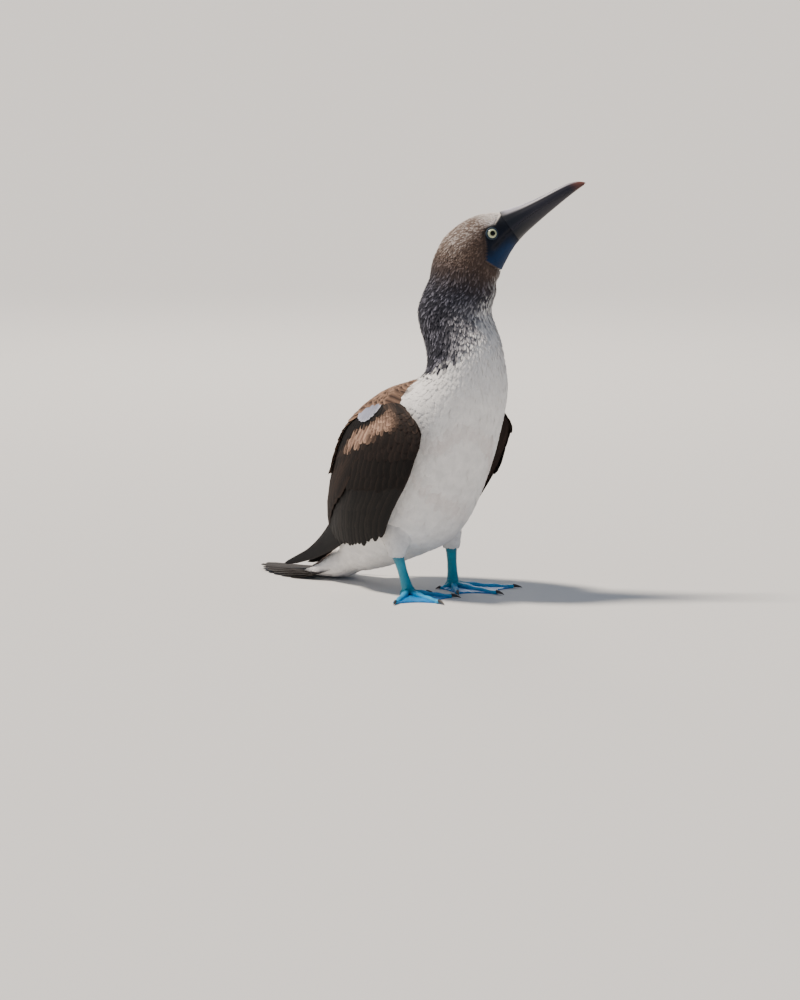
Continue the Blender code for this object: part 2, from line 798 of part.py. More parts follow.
clear_scene()
bird = make_collection("blue_footed_booby")
white_feather = make_material("white_feather", (0.82, 0.80, 0.77), 0.85)
neck_feather = make_material("neck_feather", (0.42, 0.36, 0.32), 0.85)
head_feather = make_material("head_feather", (0.50, 0.40, 0.33), 0.85)
wing_feather = make_material("wing_feather", (0.085, 0.055, 0.042), 0.7)
tail_feather = make_material("tail_feather", (0.09, 0.065, 0.055), 0.7)
bill_horn = make_material("bill_horn", (0.17, 0.19, 0.23), 0.38)
eye_surface = make_material("eye", (0.72, 0.70, 0.42), 0.08)
blue_skin = make_material("blue_skin", (0.02, 0.42, 0.72), 0.42)
claw_horn = make_material("claw_horn", (0.20, 0.20, 0.21), 0.45)

make_torso()
make_neck()
make_head()
make_bill()
make_wing("wing_left", 1, WING_TIP + Vector((8, -14, 0)))
make_wing("wing_right", -1, WING_TIP)
make_tail()
make_leg("left", 1)
make_leg("right", -1)
make_foot("left", 1)
make_foot("right", -1)
centre_on_ground()
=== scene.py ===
# Blue footed booby: the looks of the still bird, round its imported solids.
# Sizes in the settings are millimetres about the bird's own point on the ground, between its
# ankles, with x to its left, y to its tail and z up. toFrame moves them into the frame's metres.

import math

import bmesh
import bpy
import numpy as np
from mathutils import Matrix, Vector


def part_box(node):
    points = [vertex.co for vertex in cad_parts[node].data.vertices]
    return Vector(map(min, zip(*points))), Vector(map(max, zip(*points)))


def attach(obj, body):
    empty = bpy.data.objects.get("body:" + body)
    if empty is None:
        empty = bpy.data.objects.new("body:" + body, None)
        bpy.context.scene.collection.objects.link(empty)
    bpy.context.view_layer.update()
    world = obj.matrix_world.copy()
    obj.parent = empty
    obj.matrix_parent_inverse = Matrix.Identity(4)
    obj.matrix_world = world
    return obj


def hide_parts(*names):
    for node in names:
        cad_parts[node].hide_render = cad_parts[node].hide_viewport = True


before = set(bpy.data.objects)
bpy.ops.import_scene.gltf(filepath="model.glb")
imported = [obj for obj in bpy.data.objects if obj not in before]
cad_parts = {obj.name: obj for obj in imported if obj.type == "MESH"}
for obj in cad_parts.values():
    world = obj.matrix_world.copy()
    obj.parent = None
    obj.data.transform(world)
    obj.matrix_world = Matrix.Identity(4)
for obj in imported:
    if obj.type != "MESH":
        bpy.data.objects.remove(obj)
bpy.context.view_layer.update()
print("frame loaded")

mm = 0.001
fullTurn = 2 * math.pi
sides = ((-1, "right"), (1, "left"))
torsoTail = 119.0      # how far back the torso reaches, in the bird's own millimetres
torsoLow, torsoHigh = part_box("torso")
birdOrigin = np.array([(torsoLow[0] + torsoHigh[0]) / 2, torsoHigh[1] - torsoTail * mm, 0.0])


def toFrame(points):
    return np.asarray(points, float) * mm + birdOrigin


def linearColour(code):
    parts = [int(code[i:i + 2], 16) / 255 for i in (1, 3, 5)]
    return np.array([c / 12.92 if c <= 0.04045 else ((c + 0.055) / 1.055) ** 2.4 for c in parts])


def opaque(code):
    return (*linearColour(code), 1)


def blend(first, second, amount):
    amount = np.asarray(amount, float)[..., None]
    return first * (1 - amount) + second * amount


# A colour with others laid over it in turn, each by its own amount.
def layOver(colour, *layers):
    for code, amount in layers:
        colour = blend(colour, linearColour(code), amount)
    return colour


def ease(value, low, high):
    share = np.clip((value - low) / (high - low), 0, 1)
    return share * share * (3 - 2 * share)


def unit(vectors):
    return vectors / np.maximum(np.linalg.norm(vectors, axis=-1, keepdims=True), 1e-12)


def addObject(name, data):
    made = bpy.data.objects.new(name, data)
    bpy.context.scene.collection.objects.link(made)
    return made


def takeMesh(name, bm):
    mesh = bpy.data.meshes.new(name)
    bm.to_mesh(mesh)
    bm.free()
    return mesh


# Camera, light and floor

camera = {
    "azimuth": -48.0,          # the photograph's viewing angle
    "elevation": 8.0,
    "distance": 6000.0,        # far off, as a long lens sees it
    "frameHeight": 1190.5,     # what the picture's height covers at the bird
    "middle": (-29.8, 107.1),  # the picture's middle, right and up of the bird's point
    "sensor": 36.0,
    "clipEnd": 200.0,          # metres
}


def placeCamera():
    turn, rise = math.radians(camera["azimuth"]), math.radians(camera["elevation"])
    right = np.array([math.cos(turn), math.sin(turn), 0])
    back = np.array([math.sin(turn) * math.cos(rise), -math.cos(turn) * math.cos(rise),
                     math.sin(rise)])
    up = np.cross(back, right)
    middle = right * camera["middle"][0] + up * camera["middle"][1]
    data = bpy.data.cameras.new("longLens")
    data.sensor_fit, data.sensor_height = "VERTICAL", camera["sensor"]
    data.lens = camera["sensor"] * camera["distance"] / camera["frameHeight"]
    data.clip_end = camera["clipEnd"]
    eye = addObject("longLens", data)
    place = Matrix((right, up, back)).transposed().to_4x4()
    place.translation = Vector(toFrame(middle + back * camera["distance"]))
    eye.matrix_world = place
    bpy.context.scene.camera = eye


studio = {
    "floorColour": "#D6D5D3", "floorReach": 60.0,
    "worldColour": "#C6D8F4", "worldStrength": 0.36,
    "sun": (-0.75, 1.05, 2.5),       # where its light comes from, up and left behind the bird
    "sunStrength": 5.7, "sunSoftness": 9.0, "sunColour": "#FFF2E2",
    # name, place in metres, size, watts, colour
    "lamps": [("fillFront", (-0.6, -2.9, 1.2), 2.6, 3.5, "#E6EFFF"),
              ("rimBack", (1.9, 2.0, 1.7), 1.2, 22.0, "#FFF6EA")],
    "aim": (0.0, 0.0, 0.24),
}


def addLamp(name, kind, shines, power, colour):
    data = bpy.data.lights.new(name, kind)
    data.energy, data.color = power, linearColour(colour)
    lamp = addObject(name, data)
    lamp.rotation_euler = shines.to_track_quat("-Z", "Y").to_euler()
    return lamp


def placeStudio():
    bm = bmesh.new()
    bmesh.ops.create_grid(bm, x_segments=2, y_segments=2, size=studio["floorReach"])
    floor = addObject("studioFloor", takeMesh("studioFloor", bm))
    floor.data.materials.append(startMaterial("mattFloor", {
        "Base Color": opaque(studio["floorColour"]), "Roughness": 0.9})[0])
    for name, place, size, power, colour in studio["lamps"]:
        lamp = addLamp(name, "AREA", Vector(studio["aim"]) - Vector(place), power, colour)
        lamp.data.shape, lamp.data.size = "DISK", size
        lamp.location = place
    sun = addLamp("sunSoft", "SUN", -Vector(studio["sun"]), studio["sunStrength"],
                  studio["sunColour"])
    sun.data.angle = math.radians(studio["sunSoftness"])
    world = bpy.data.worlds.new("paleStudio")
    world.use_nodes = True
    sky = world.node_tree.nodes["Background"]
    sky.inputs["Color"].default_value = opaque(studio["worldColour"])
    sky.inputs["Strength"].default_value = studio["worldStrength"]
    bpy.context.scene.world = world


# Materials

def startMaterial(name, sockets):
    material = bpy.data.materials.new(name)
    material.use_nodes = True
    shader = material.node_tree.nodes["Principled BSDF"]
    for socket, value in sockets.items():
        shader.inputs[socket].default_value = value
    return material, material.node_tree, shader


# A new node. Of its settings, a socket is linked, and any other value is set.
def addNode(tree, kind, settings, output=0):
    node = tree.nodes.new("ShaderNode" + kind)
    for key, value in settings.items():
        if isinstance(value, bpy.types.NodeSocket):
            tree.links.new(value, node.inputs[key])
        elif isinstance(key, str) and hasattr(node, key):
            setattr(node, key, value)
        else:
            node.inputs[key].default_value = value
    return node.outputs[output]


def linkShader(tree, shader, sources):
    for socket, source in sources.items():
        tree.links.new(source, shader.inputs[socket])


# The markings, made darker and lighter as value goes from about 0.3 to 0.7.
def mottleBy(tree, value, shades):
    markings = addNode(tree, "Attribute", {"attribute_name": "markings"}, "Color")
    span = addNode(tree, "MapRange", {"Value": value, "From Min": 0.3, "From Max": 0.7,
                                      "To Min": shades[0], "To Max": shades[1]})
    return addNode(tree, "Mix", {"data_type": "RGBA", "blend_type": "MULTIPLY", 0: 1.0,
                                 6: markings, 7: span}, 2)


# Feather: keratin barbs on a shaft, matt, with a soft glow at grazing angles. The colour is
# in the markings; barbs are drawn half a millimetre to 3 mm apart, coarser than real, so that
# they show.

def featherMaterial(name, look):
    material, tree, shader = startMaterial(name, {
        "Roughness": look["roughness"], "Sheen Weight": look["sheen"], "Sheen Roughness": 0.45,
        "Specular IOR Level": look["gloss"], "IOR": 1.54,
    })
    place = addNode(tree, "TexCoord", {}, "Object")
    mottle = addNode(tree, "TexNoise", {"Vector": place, "Scale": look["mottleScale"],
                                        "Detail": 3.0})
    colour = mottleBy(tree, mottle, look["mottle"])
    vane = addNode(tree, "UVMap", {"uv_map": "vane"})
    side, along = addNode(tree, "SeparateXYZ", {0: vane}).node.outputs[:2]
    for operation, number in (("SUBTRACT", 0.5), ("ABSOLUTE", 0.0), ("MULTIPLY", 2.0)):
        side = addNode(tree, "Math", {"operation": operation, 0: side, 1: number})
    edge, tip = (addNode(tree, "MapRange", {"interpolation_type": "SMOOTHSTEP", "Value": value,
                                            "From Min": start, "From Max": end})
                 for value, start, end in ((side, 0.74, 0.98), (along, 0.90, 0.99)))
    fringe = addNode(tree, "Math", {"operation": "MAXIMUM", 0: edge, 1: tip})
    fringe = addNode(tree, "Math", {"operation": "MULTIPLY", 0: fringe, 1: look["fringe"]})
    shaft = addNode(tree, "MapRange", {"Value": side, "From Min": 0.10, "From Max": 0.03,
                                       "To Max": look["shaft"]})
    for share, code in ((fringe, look["fringeColour"]), (shaft, look["shaftColour"])):
        colour = addNode(tree, "Mix", {"data_type": "RGBA", 0: share, 6: colour,
                                       7: opaque(code)}, 2)
    # barbs slant back from the shaft to the edges
    slant = addNode(tree, "Math", {"operation": "MULTIPLY", 0: side,
                                   1: -0.12 * look["barbs"]})
    wave = addNode(tree, "Math", {"operation": "MULTIPLY_ADD", 0: along, 1: look["barbs"],
                                  2: slant})
    for operation, number in (("MULTIPLY", fullTurn), ("SINE", 0.0)):
        wave = addNode(tree, "Math", {"operation": operation, 0: wave, 1: number})
    bump = addNode(tree, "Bump", {"Height": wave, "Strength": look["barbRelief"],
                                  "Distance": 0.0004})
    linkShader(tree, shader, {"Base Color": colour, "Normal": bump})
    return material


# Skin: soft, a little oily, with fine scutes where it is bare. Its colour is in the markings.

def skinMaterial(name, look):
    material, tree, shader = startMaterial(name, {
        "Roughness": look["roughness"], "Specular IOR Level": look["gloss"], "IOR": 1.42,
        "Coat Weight": look["coat"], "Coat Roughness": 0.3,
    })
    place = addNode(tree, "TexCoord", {}, "Object")
    cells = addNode(tree, "TexVoronoi", {"Vector": place, "feature": "DISTANCE_TO_EDGE",
                                         "Scale": 1000 / look["scuteSize"]})
    rims = addNode(tree, "MapRange", {"Value": cells, "From Max": 0.16})
    mottle = addNode(tree, "TexNoise", {"Vector": place, "Scale": look["mottleScale"],
                                        "Detail": 3.0})
    colour = mottleBy(tree, mottle, look["mottle"])
    darkRims = addNode(tree, "MapRange", {"Value": rims, "To Min": look["rimShade"]})
    colour = addNode(tree, "Mix", {"data_type": "RGBA", "blend_type": "MULTIPLY", 0: 1.0,
                                   6: colour, 7: darkRims}, 2)
    bump = addNode(tree, "Bump", {"Height": rims, "Strength": look["relief"],
                                  "Distance": 0.0004})
    linkShader(tree, shader, {"Base Color": colour, "Normal": bump})
    return material


# Horn: keratin grown in layers, satin, with faint streaks along its length.

def hornMaterial(name, look):
    material, tree, shader = startMaterial(name, {
        "Roughness": look["roughness"], "Specular IOR Level": look["gloss"], "IOR": 1.55,
        "Coat Weight": look["coat"], "Coat Roughness": 0.25,
    })
    grain = addNode(tree, "UVMap", {"uv_map": "grain"})
    grain = addNode(tree, "Mapping", {"Vector": grain, "Scale": look["grain"]})
    streak = addNode(tree, "TexNoise", {"Vector": grain, "Scale": 1.0, "Detail": 4.0})
    colour = mottleBy(tree, streak, look["mottle"])
    rough = addNode(tree, "MapRange", {"Value": streak, "To Min": look["roughness"] - 0.08,
                                       "To Max": look["roughness"] + 0.12})
    bump = addNode(tree, "Bump", {"Height": streak, "Strength": look["relief"],
                                  "Distance": 0.0003})
    linkShader(tree, shader, {"Base Color": colour, "Roughness": rough, "Normal": bump})
    return material


# Tubes: the bird's rounded forms run through sections. A section is its front point, its back
# point, its sideways direction, its half width, and how much wider it is towards the back.

def smoothThrough(keys, at):
    last = len(keys) - 1
    low = np.clip(np.floor(at).astype(int), 0, last - 1)
    share = (at - low)[:, None]
    before, here, there, after = (keys[np.clip(low + k, 0, last)] for k in (-1, 0, 1, 2))
    return 0.5 * (2 * here + (there - before) * share
                  + (2 * before - 5 * here + 4 * there - after) * share ** 2
                  + (3 * here - before - 3 * there + after) * share ** 3)


def tubePoint(sections, at, angle, lift=0.0):
    value = smoothThrough(sections, at)
    front, back, side = value[:, 0:3], value[:, 3:6], unit(value[:, 6:9])
    half = (back - front) / 2
    length = np.linalg.norm(half, axis=1, keepdims=True)
    half = half * (length + np.reshape(lift, (-1, 1))) / length
    spread = (value[:, 9] + lift) * (1 + value[:, 10] * np.cos(angle))
    return (front + back) / 2 + half * np.cos(angle)[:, None] \
        + side * (spread * np.sin(angle))[:, None]


# A surface for feathers: u goes round from the back over the bird's left, and v runs the way that
# the feathers lie, which is runs times the place in the sections.
def tubeSurface(sections, runs):
    return {"at": lambda u, v: tubePoint(sections, v * runs, u), "turn": 1.0}


def surfaceFrame(surface, u, v):
    step = 1e-3
    acrossWay = (surface["at"](u + step, v) - surface["at"](u - step, v)) / (2 * step)
    alongWay = (surface["at"](u, v + step) - surface["at"](u, v - step)) / (2 * step)
    out = unit(np.cross(acrossWay, alongWay)) * surface["turn"]
    return surface["at"](u, v), acrossWay, alongWay, out


# The body: trunk, neck and head in one run, and the wedge under the tail's feathers

body = {
    "trunk": [
        # front y and z, back y and z, half width, wider at the back; the wedge under the tail,
        # whose front is its underside, comes first
        (186, 3.2, 187, 7.2, 10.0, 0), (176, 1.4, 179, 10.5, 18.0, 0),
        (158, 1.2, 165, 18.5, 24.5, 0), (139, 1.8, 150, 28, 27.5, 0), (122, 5.0, 134, 39, 28.5, 0),
        (106, 12, 119, 50, 28, 0.00), (86, 16, 118, 72, 36, 0.00), (60, 23, 115, 94, 46, -0.01),
        (32, 33, 110, 115, 55, -0.02), (4, 44, 102, 136, 62, -0.02), (-24, 57, 92, 156, 67, 0.0),
        (-46, 78, 81, 175, 69.5, 0.01), (-62, 104, 69, 194, 71, 0.02),
        (-76, 133, 56, 212, 71, 0.03), (-88, 162, 41, 229, 69, 0.04),
        (-97, 190, 23, 243, 66, 0.04), (-104, 214, 3, 254, 61, 0.03),
        (-109, 239, -13, 262, 55, 0.00), (-109, 262, -21, 271, 50, 0.00),
    ],
    "wedgeSections": 5,
    "neck": [
        # middle x, y and z, turn to the left, rise to the back, half width, half depth
        (0.5, -63, 285, 8, 2, 46.5, 43.5), (1.5, -57, 303, 13, 1, 43.5, 44.5),
        (2.5, -49, 319, 18, 1, 41.5, 44.2), (3.5, -43.5, 335, 23, 3, 39.5, 42.6),
        (5.5, -46.5, 352, 29, 7, 38, 40.5), (8.0, -52, 367, 36, 12, 36.5, 39.0),
    ],
    "head": [
        # in the head's frame: forward and up of the crown, of the throat, half width
        (-75.2, 10.1, -28.2, -51.3, 34.5), (-65.6, 16.8, -17.3, -45.6, 32.0),
        (-50.3, 25.0, -9.0, -40.6, 29.3), (-36.1, 28.2, -2.0, -37.0, 26.8),
        (-19.0, 28.6, 4.2, -33.7, 24.3), (-2.5, 25.9, 10.4, -31.0, 21.6),
        (10.4, 20.4, 16.6, -28.5, 18.8), (22.0, 14.4, 24.0, -26.4, 16.2),
    ],
    "headPitch": 35.0, "headYaw": 42.0, "eyePoint": (28.0, -77.5, 429.0),
    "headFrom": 19.0,        # places on the head, from the trunk's first section
    "skinDepth": 2.4,        # how far the skin lies under the feathers' surface
    "bareFlush": 0.9, "billFlush": 0.6,      # shares of that depth lost on bare skin, at the bill
    "trunkRings": 90, "headRings": 110, "around": 96,
    "headSections": 10,      # sections that have the head's closer rings
}
trunkStart = body["wedgeSections"]      # sections before the trunk's first
bodyEnd = len(body["trunk"] + body["neck"] + body["head"]) - 1


def headAxes():
    yaw, pitch = math.radians(body["headYaw"]), math.radians(body["headPitch"])
    ahead = np.array([math.sin(yaw), -math.cos(yaw), 0])
    up = np.array([0, 0, 1.0])
    forward = ahead * math.cos(pitch) + up * math.sin(pitch)
    return forward, np.cross(up, ahead), up * math.cos(pitch) - ahead * math.sin(pitch)


def headPoint(forwardBy, leftBy, upBy):
    return np.array(body["eyePoint"]) + sum(
        np.multiply.outer(by, axis) for by, axis in zip((forwardBy, leftBy, upBy), headAxes()))


# Forward, left and up of the eye line for points in the bird's own millimetres.
def inHead(points):
    return [(points - np.array(body["eyePoint"])) @ axis for axis in headAxes()]


def bodySections():
    rows = [(0, frontY, frontZ, 0, backY, backZ, 1, 0, 0, width, egg)
            for frontY, frontZ, backY, backZ, width, egg in body["trunk"]]
    for x, y, z, yaw, rise, width, depth in body["neck"]:
        turn, tilt = math.radians(yaw), math.radians(rise)
        back = np.array([-math.sin(turn) * math.cos(tilt), math.cos(turn) * math.cos(tilt),
                         math.sin(tilt)]) * depth
        middle = np.array([x, y, z])
        rows.append((*(middle - back), *(middle + back), math.cos(turn), math.sin(turn), 0,
                     width, 0))
    for crownX, crownZ, throatX, throatZ, width in body["head"]:
        rows.append((*headPoint(throatX, 0, throatZ), *headPoint(crownX, 0, crownZ),
                     *headAxes()[1], width, 0))
    return np.array(rows, float)


bodyTube = bodySections()
bodySurface = tubeSurface(bodyTube, -1.0)

# Markings: the colours of the plumage and the bare skin, by place on the body

plumage = {
    "white": "#F2F0ED", "greyWhite": "#D3D1D2", "blush": "#C9B4AE", "buff": "#B39C86",
    "cream": "#DFD6CF", "tan": "#77655A", "brown": "#4B3D36", "darkBrown": "#1C1411",
    "navyBrown": "#11131C", "stone": "#5F5F68", "paleGrey": "#777682", "paleTip": "#C9C6C8",
    "mantle": "#251A15", "mantleEdge": "#4E3A2E",
    # where the dark feathers of the neck start, as the cosine of the angle from the back
    "streakPlaces": [12, 13, 13.6, 14.2, 15, 16.5, 18, 20, 23, 27],
    "streakFrom": [0.92, 0.70, 0.30, -0.15, -0.52, -0.80, -1.0, -1.1, -1.2, -1.3],
}
paint = {name: linearColour(code) for name, code in plumage.items() if isinstance(code, str)}
bareFace = {
    # the edge of the bare skin on the head's side, forward and up of the eye
    "edge": [(40, 15), (26, 12.5), (10, 6.8), (3, 8.6), (-6.5, 5.0), (-10.5, -5), (-14.0, -11),
             (-22.0, -22), (-13, -46), (40, -46)],
    "lore": "#050A16", "cheek": "#0A1322", "gular": "#022548", "underChin": "#121A26",
    "billBase": "#0F141F", "gapeBand": "#2B2A2E",
    # the corner of the mouth, a fine crease back from the bill's own line
    "gape": [(-6, -15.5), (4, -12.6), (14, -10.6), (26, -9.8)], "gapeDepth": 0.7,
}


# How far points lie inside a closed line, in its own units, below 0 outside.
def insideEdge(x, z, edge):
    corners = np.array(edge, float)
    nearest, crossings = np.full(x.shape, 1e9), np.zeros(x.shape, int)
    for first, second in zip(corners, np.roll(corners, -1, axis=0)):
        span = second - first
        share = np.clip(((x - first[0]) * span[0] + (z - first[1]) * span[1])
                        / (span @ span), 0, 1)
        gap = np.hypot(x - first[0] - share * span[0], z - first[1] - share * span[1])
        nearest = np.minimum(nearest, gap)
        reach = first[0] + (z - first[1]) * span[0] / (span[1] if span[1] else 1e-9)
        crossings += ((first[1] > z) != (second[1] > z)) & (x < reach)
    return np.where(crossings % 2 == 1, nearest, -nearest)


# How far points on the face lie from the mouth's crease.
def gapeGap(points):
    forward, _, up = inHead(points)
    places, heights = np.array(bareFace["gape"], float).T
    return np.hypot(up - np.interp(forward, places, heights), np.maximum(places[0] - forward, 0))


def bareAmount(points):
    forward, _, up = inHead(points)
    return insideEdge(forward, up, bareFace["edge"])


# Colours of the shaft line, the edges and the tip of feathers rooted at those places.
def plumageColours(at, angle, points, draw):
    at, back = at - trunkStart, np.cos(angle)
    patch = 0.5 + 0.5 * np.sin(points[:, 2] * 0.11 + 2.1 * np.sin(points[:, 1] * 0.075)
                               + points[:, 0] * 0.06)
    chance = draw.random(len(at))
    middle = blend(paint["white"], paint["greyWhite"], 0.35 * patch * chance)
    edge = blend(paint["white"], paint["greyWhite"], 0.18 * chance)
    # faint smudges low on the breast
    smudge = ease(back, -0.2, -0.8) * ease(at, 6.0, 8.5) * ease(at, 12.0, 10.0) \
        * ease(patch, 0.60, 1.0) * (0.30 + 0.12 * chance)
    # painted shade: the white turns grey under the tail's wedge and low on the front of the body
    under = np.maximum(ease(at, 2.5, -0.5) * ease(back, 0.2, -0.4),
                       0.45 * ease(at, 8.5, 4.0) * ease(back, 0.3, -0.1))
    middle = blend(blend(middle, paint["blush"], smudge), paint["greyWhite"], under * 0.8)
    edge = blend(blend(edge, paint["blush"], 0.9 * smudge), paint["greyWhite"], under * 0.35)
    # mantle down to the rump, and brown coverts over the tail's root
    mantle = ease(back, 0.42, 0.66) * ease(at, 13.1, 12.0) * ease(at, 3.2, 4.6)
    mantle = np.clip(mantle + 0.5 * (chance - 0.5) * (mantle > 0.02) * (mantle < 0.98), 0, 1)
    brown = np.clip(mantle + ease(back, 0.3, 0.6) * ease(at, 0.8, -0.6), 0, 1)
    middle = blend(middle, blend(paint["mantle"], paint["darkBrown"], chance * 0.7), brown)
    edge = blend(edge, blend(paint["mantleEdge"], paint["tan"], chance * 0.6), brown)
    # dark feathers over the neck and head, with pale tips scattered among them
    start = np.interp(at, plumage["streakPlaces"], plumage["streakFrom"])
    streak = ease(back + 0.5 * (chance - 0.5), start - 0.2, start + 0.2) * ease(at, 12.3, 13.5)
    upper = ease(at, 18.5, 22.0)
    foreneck = ease(back, 0.15, -0.7) * ease(at, 19.5, 16.5)
    crown = ease(at, 20.5, 23.0) * ease(back, 0.15, 0.75)
    forehead = ease(at, 24.8, 26.3) * ease(back, -0.2, 0.5)
    dark, pale = paint["navyBrown"], paint["paleGrey"]
    for amount, darkName, darkShare, paleName, paleShare in (
        (upper, "brown", 1.0, "tan", 1.0), (foreneck, "stone", 0.65, "paleTip", 0.9),
        (crown, "tan", 0.85, "cream", 0.75), (forehead, "cream", 0.9, "white", 1.0),
    ):
        dark = blend(dark, paint[darkName], amount * darkShare)
        pale = blend(pale, paint[paleName], amount * paleShare)
    fleck = ease(draw.random(len(at)) + 0.28 * foreneck + 0.1 * crown + 0.07 * upper, 0.60, 0.95)
    return (blend(middle, dark, streak),
            blend(edge, blend(dark, pale, 0.22 + 0.45 * fleck), streak),
            blend(edge, blend(dark, pale, 0.12 + 0.88 * fleck), streak))


def skinColours(at, angle, points):
    middle, edge, _ = plumageColours(at, angle, points, np.random.default_rng(3))
    forward, _, up = inHead(points)
    gap = gapeGap(points)
    face = layOver(
        linearColour(bareFace["lore"]),
        (bareFace["cheek"], ease(up, 4.0, -12.0)), (bareFace["gular"], ease(up, -12.0, -26.0)),
        (bareFace["underChin"], ease(forward, 8.0, 24.0) * ease(up, -12.0, -22.0)),
        (bareFace["billBase"], ease(forward, 12.0, 23.0) * ease(up, -22.0, -12.0)),
        (bareFace["gapeBand"], ease(gap, 5.0, 1.5) * 0.5),
        (bareFace["lore"], ease(gap, 1.2, 0.3) * 0.8))
    bare = ease(bareAmount(points), -0.6, 0.8) * ease(at, trunkStart + 17.5, trunkStart + 18.5)
    return blend(blend(middle, edge, np.full(len(at), 0.4)), face, bare)


# Meshes

# A closed skin through rings of points in the bird's own millimetres.
def loftRings(rings):
    bm = bmesh.new()
    made = []
    for ring in rings:
        circle = bmesh.ops.create_circle(bm, segments=len(ring), radius=1.0)["verts"]
        for vert, point in zip(circle, toFrame(ring)):
            vert.co = point
        # in a fixed order, so that every run makes the same faces
        made.append(list(dict.fromkeys(edge for vert in circle for edge in vert.link_edges)))
    for low, high in zip(made, made[1:]):
        bmesh.ops.bridge_loops(bm, edges=low + high)
    for edges in (made[0], made[-1]):
        bmesh.ops.edgeloop_fill(bm, edges=edges)
    bmesh.ops.recalc_face_normals(bm, faces=bm.faces)
    return bm


def joinInto(bm, other):
    mesh = takeMesh("part", other)
    bm.from_mesh(mesh)
    bpy.data.meshes.remove(mesh)


def smoothMesh(mesh, sharpAngle=50.0):
    mesh.shade_smooth()
    mesh.set_sharp_from_angle(angle=math.radians(sharpAngle))
    return mesh


def setColours(mesh, colours):
    flat = np.ones((len(mesh.vertices), 4), np.float32)
    flat[:, :3] = colours
    layer = mesh.attributes.new("markings", "FLOAT_COLOR", "POINT")
    layer.data.foreach_set("color", flat.ravel())


# A UV map that gives every vertex one place.
def setMap(mesh, name, places):
    corners = np.empty(len(mesh.loops), np.int32)
    mesh.loops.foreach_get("vertex_index", corners)
    mesh.uv_layers.new(name=name).data.foreach_set("uv", places[corners].ravel())


def vertexPlaces(mesh):
    points = np.empty(len(mesh.vertices) * 3)
    mesh.vertices.foreach_get("co", points)
    return (points.reshape(-1, 3) - birdOrigin) / mm


def addPiece(name, mesh, material, replaced=()):
    mesh.materials.append(material)
    piece = addObject(name, mesh)
    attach(piece, "root")
    if replaced:
        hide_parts(*replaced)


# Vanes: every feather is a thin closed blade. It runs from a root point through stations, each
# with a left edge, a shaft on top, a right edge and a keel below, to a tip point.

def vaneFaces(stations):
    root, tip = 0, 1 + 4 * stations
    faces = []
    for k in range(stations - 1):
        left, top, right, keel = range(1 + 4 * k, 5 + 4 * k)
        leftNext, topNext, rightNext, keelNext = range(5 + 4 * k, 9 + 4 * k)
        faces += [(top, right, rightNext), (top, rightNext, topNext),
                  (left, top, topNext), (left, topNext, leftNext),
                  (keel, rightNext, right), (keel, keelNext, rightNext),
                  (left, keelNext, keel), (left, leftNext, keelNext)]
    left, top, right, keel = range(1, 5)
    faces += [(root, right, top), (root, top, left), (root, keel, right), (root, left, keel)]
    left, top, right, keel = range(tip - 4, tip)
    faces += [(top, right, tip), (left, top, tip), (keel, tip, right), (left, tip, keel)]
    return np.array(faces)


vanes = {
    "clearance": 0.3,        # nothing sinks nearer to the ground than this
    "bakePatch": 0.003,      # each feather's patch on the bake's map
}


# feathers holds arrays with one row for each feather: centres (root, stations, tip), outs (the
# way the upper face looks), half (half width at each station), colours middle, edge and tip, and
# skinPlace, the root's place on an unwrap of the skin.
def makeVanes(name, feathers, look, material, replaced=()):
    centres, outs, half = feathers["centres"], unit(feathers["outs"]), feathers["half"]
    count, rows = centres.shape[:2]
    stations = rows - 2
    ahead = unit(np.gradient(centres, axis=1))
    outs = unit(outs - ahead * np.sum(outs * ahead, axis=2, keepdims=True))
    line, out, right = (part[:, 1:-1] for part in (centres, outs, np.cross(ahead, outs)))
    across, spread = right * half[:, :, None], out * half[:, :, None]
    drop, lean = spread * look["camber"], spread * np.reshape(feathers["lean"], (-1, 1, 1))
    shaft, thick = line + across * look["shaftShift"], out * look["thick"] * 0.5
    block = np.stack([line - across - drop - lean, shaft + thick, line + across - drop + lean,
                      shaft - thick], axis=2).reshape(count, stations * 4, 3)
    points = np.concatenate([centres[:, :1], block, centres[:, -1:]], axis=1)
    points[:, :, 2] = np.maximum(points[:, :, 2], vanes["clearance"])
    each = points.shape[1]
    faces = vaneFaces(stations) + (np.arange(count) * each)[:, None, None]
    mesh = bpy.data.meshes.new(name)
    mesh.from_pydata(toFrame(points.reshape(-1, 3)), [], faces.reshape(-1, 3))
    mesh.validate()
    smoothMesh(mesh, look["sharp"])

    along = np.array([0.0, *look["along"], 1.0]) if "along" in look else np.linspace(0, 1, rows)
    along = along[1:-1]
    shade = blend(np.full(3, look["rootShade"]), np.ones(3), ease(along, 0.0, 0.5))
    tipShare = ease(along, look["tipFrom"], 1.0)[:, None]
    middle, edge, tip = (feathers[key][:, None] for key in ("middle", "edge", "tip"))
    middles, edges = ((part * (1 - tipShare) + tip * tipShare) * shade for part in (middle, edge))
    colours = np.stack([edges, middles, edges, middles], axis=2).reshape(count, stations * 4, 3)
    colours = np.concatenate([middle * look["rootShade"], colours, tip], axis=1)
    setColours(mesh, colours.reshape(-1, 3))

    vane = np.empty((each, 2))
    vane[0], vane[-1] = (0.5, 0.0), (0.5, 1.0)
    shaftAt = 0.5 + 0.5 * look["shaftShift"]
    vane[1:-1, 0] = np.tile([0.0, shaftAt, 1.0, shaftAt], stations)
    vane[1:-1, 1] = np.repeat(along, 4)
    setMap(mesh, "vane", np.tile(vane, (count, 1)))
    places = feathers["skinPlace"][:, None] + (vane - 0.5) * vanes["bakePatch"]
    setMap(mesh, "OFBake", places.reshape(-1, 2))
    print(name, count, "feathers,", faces.shape[0] * faces.shape[1], "triangles")
    addPiece(name, mesh, material, replaced)


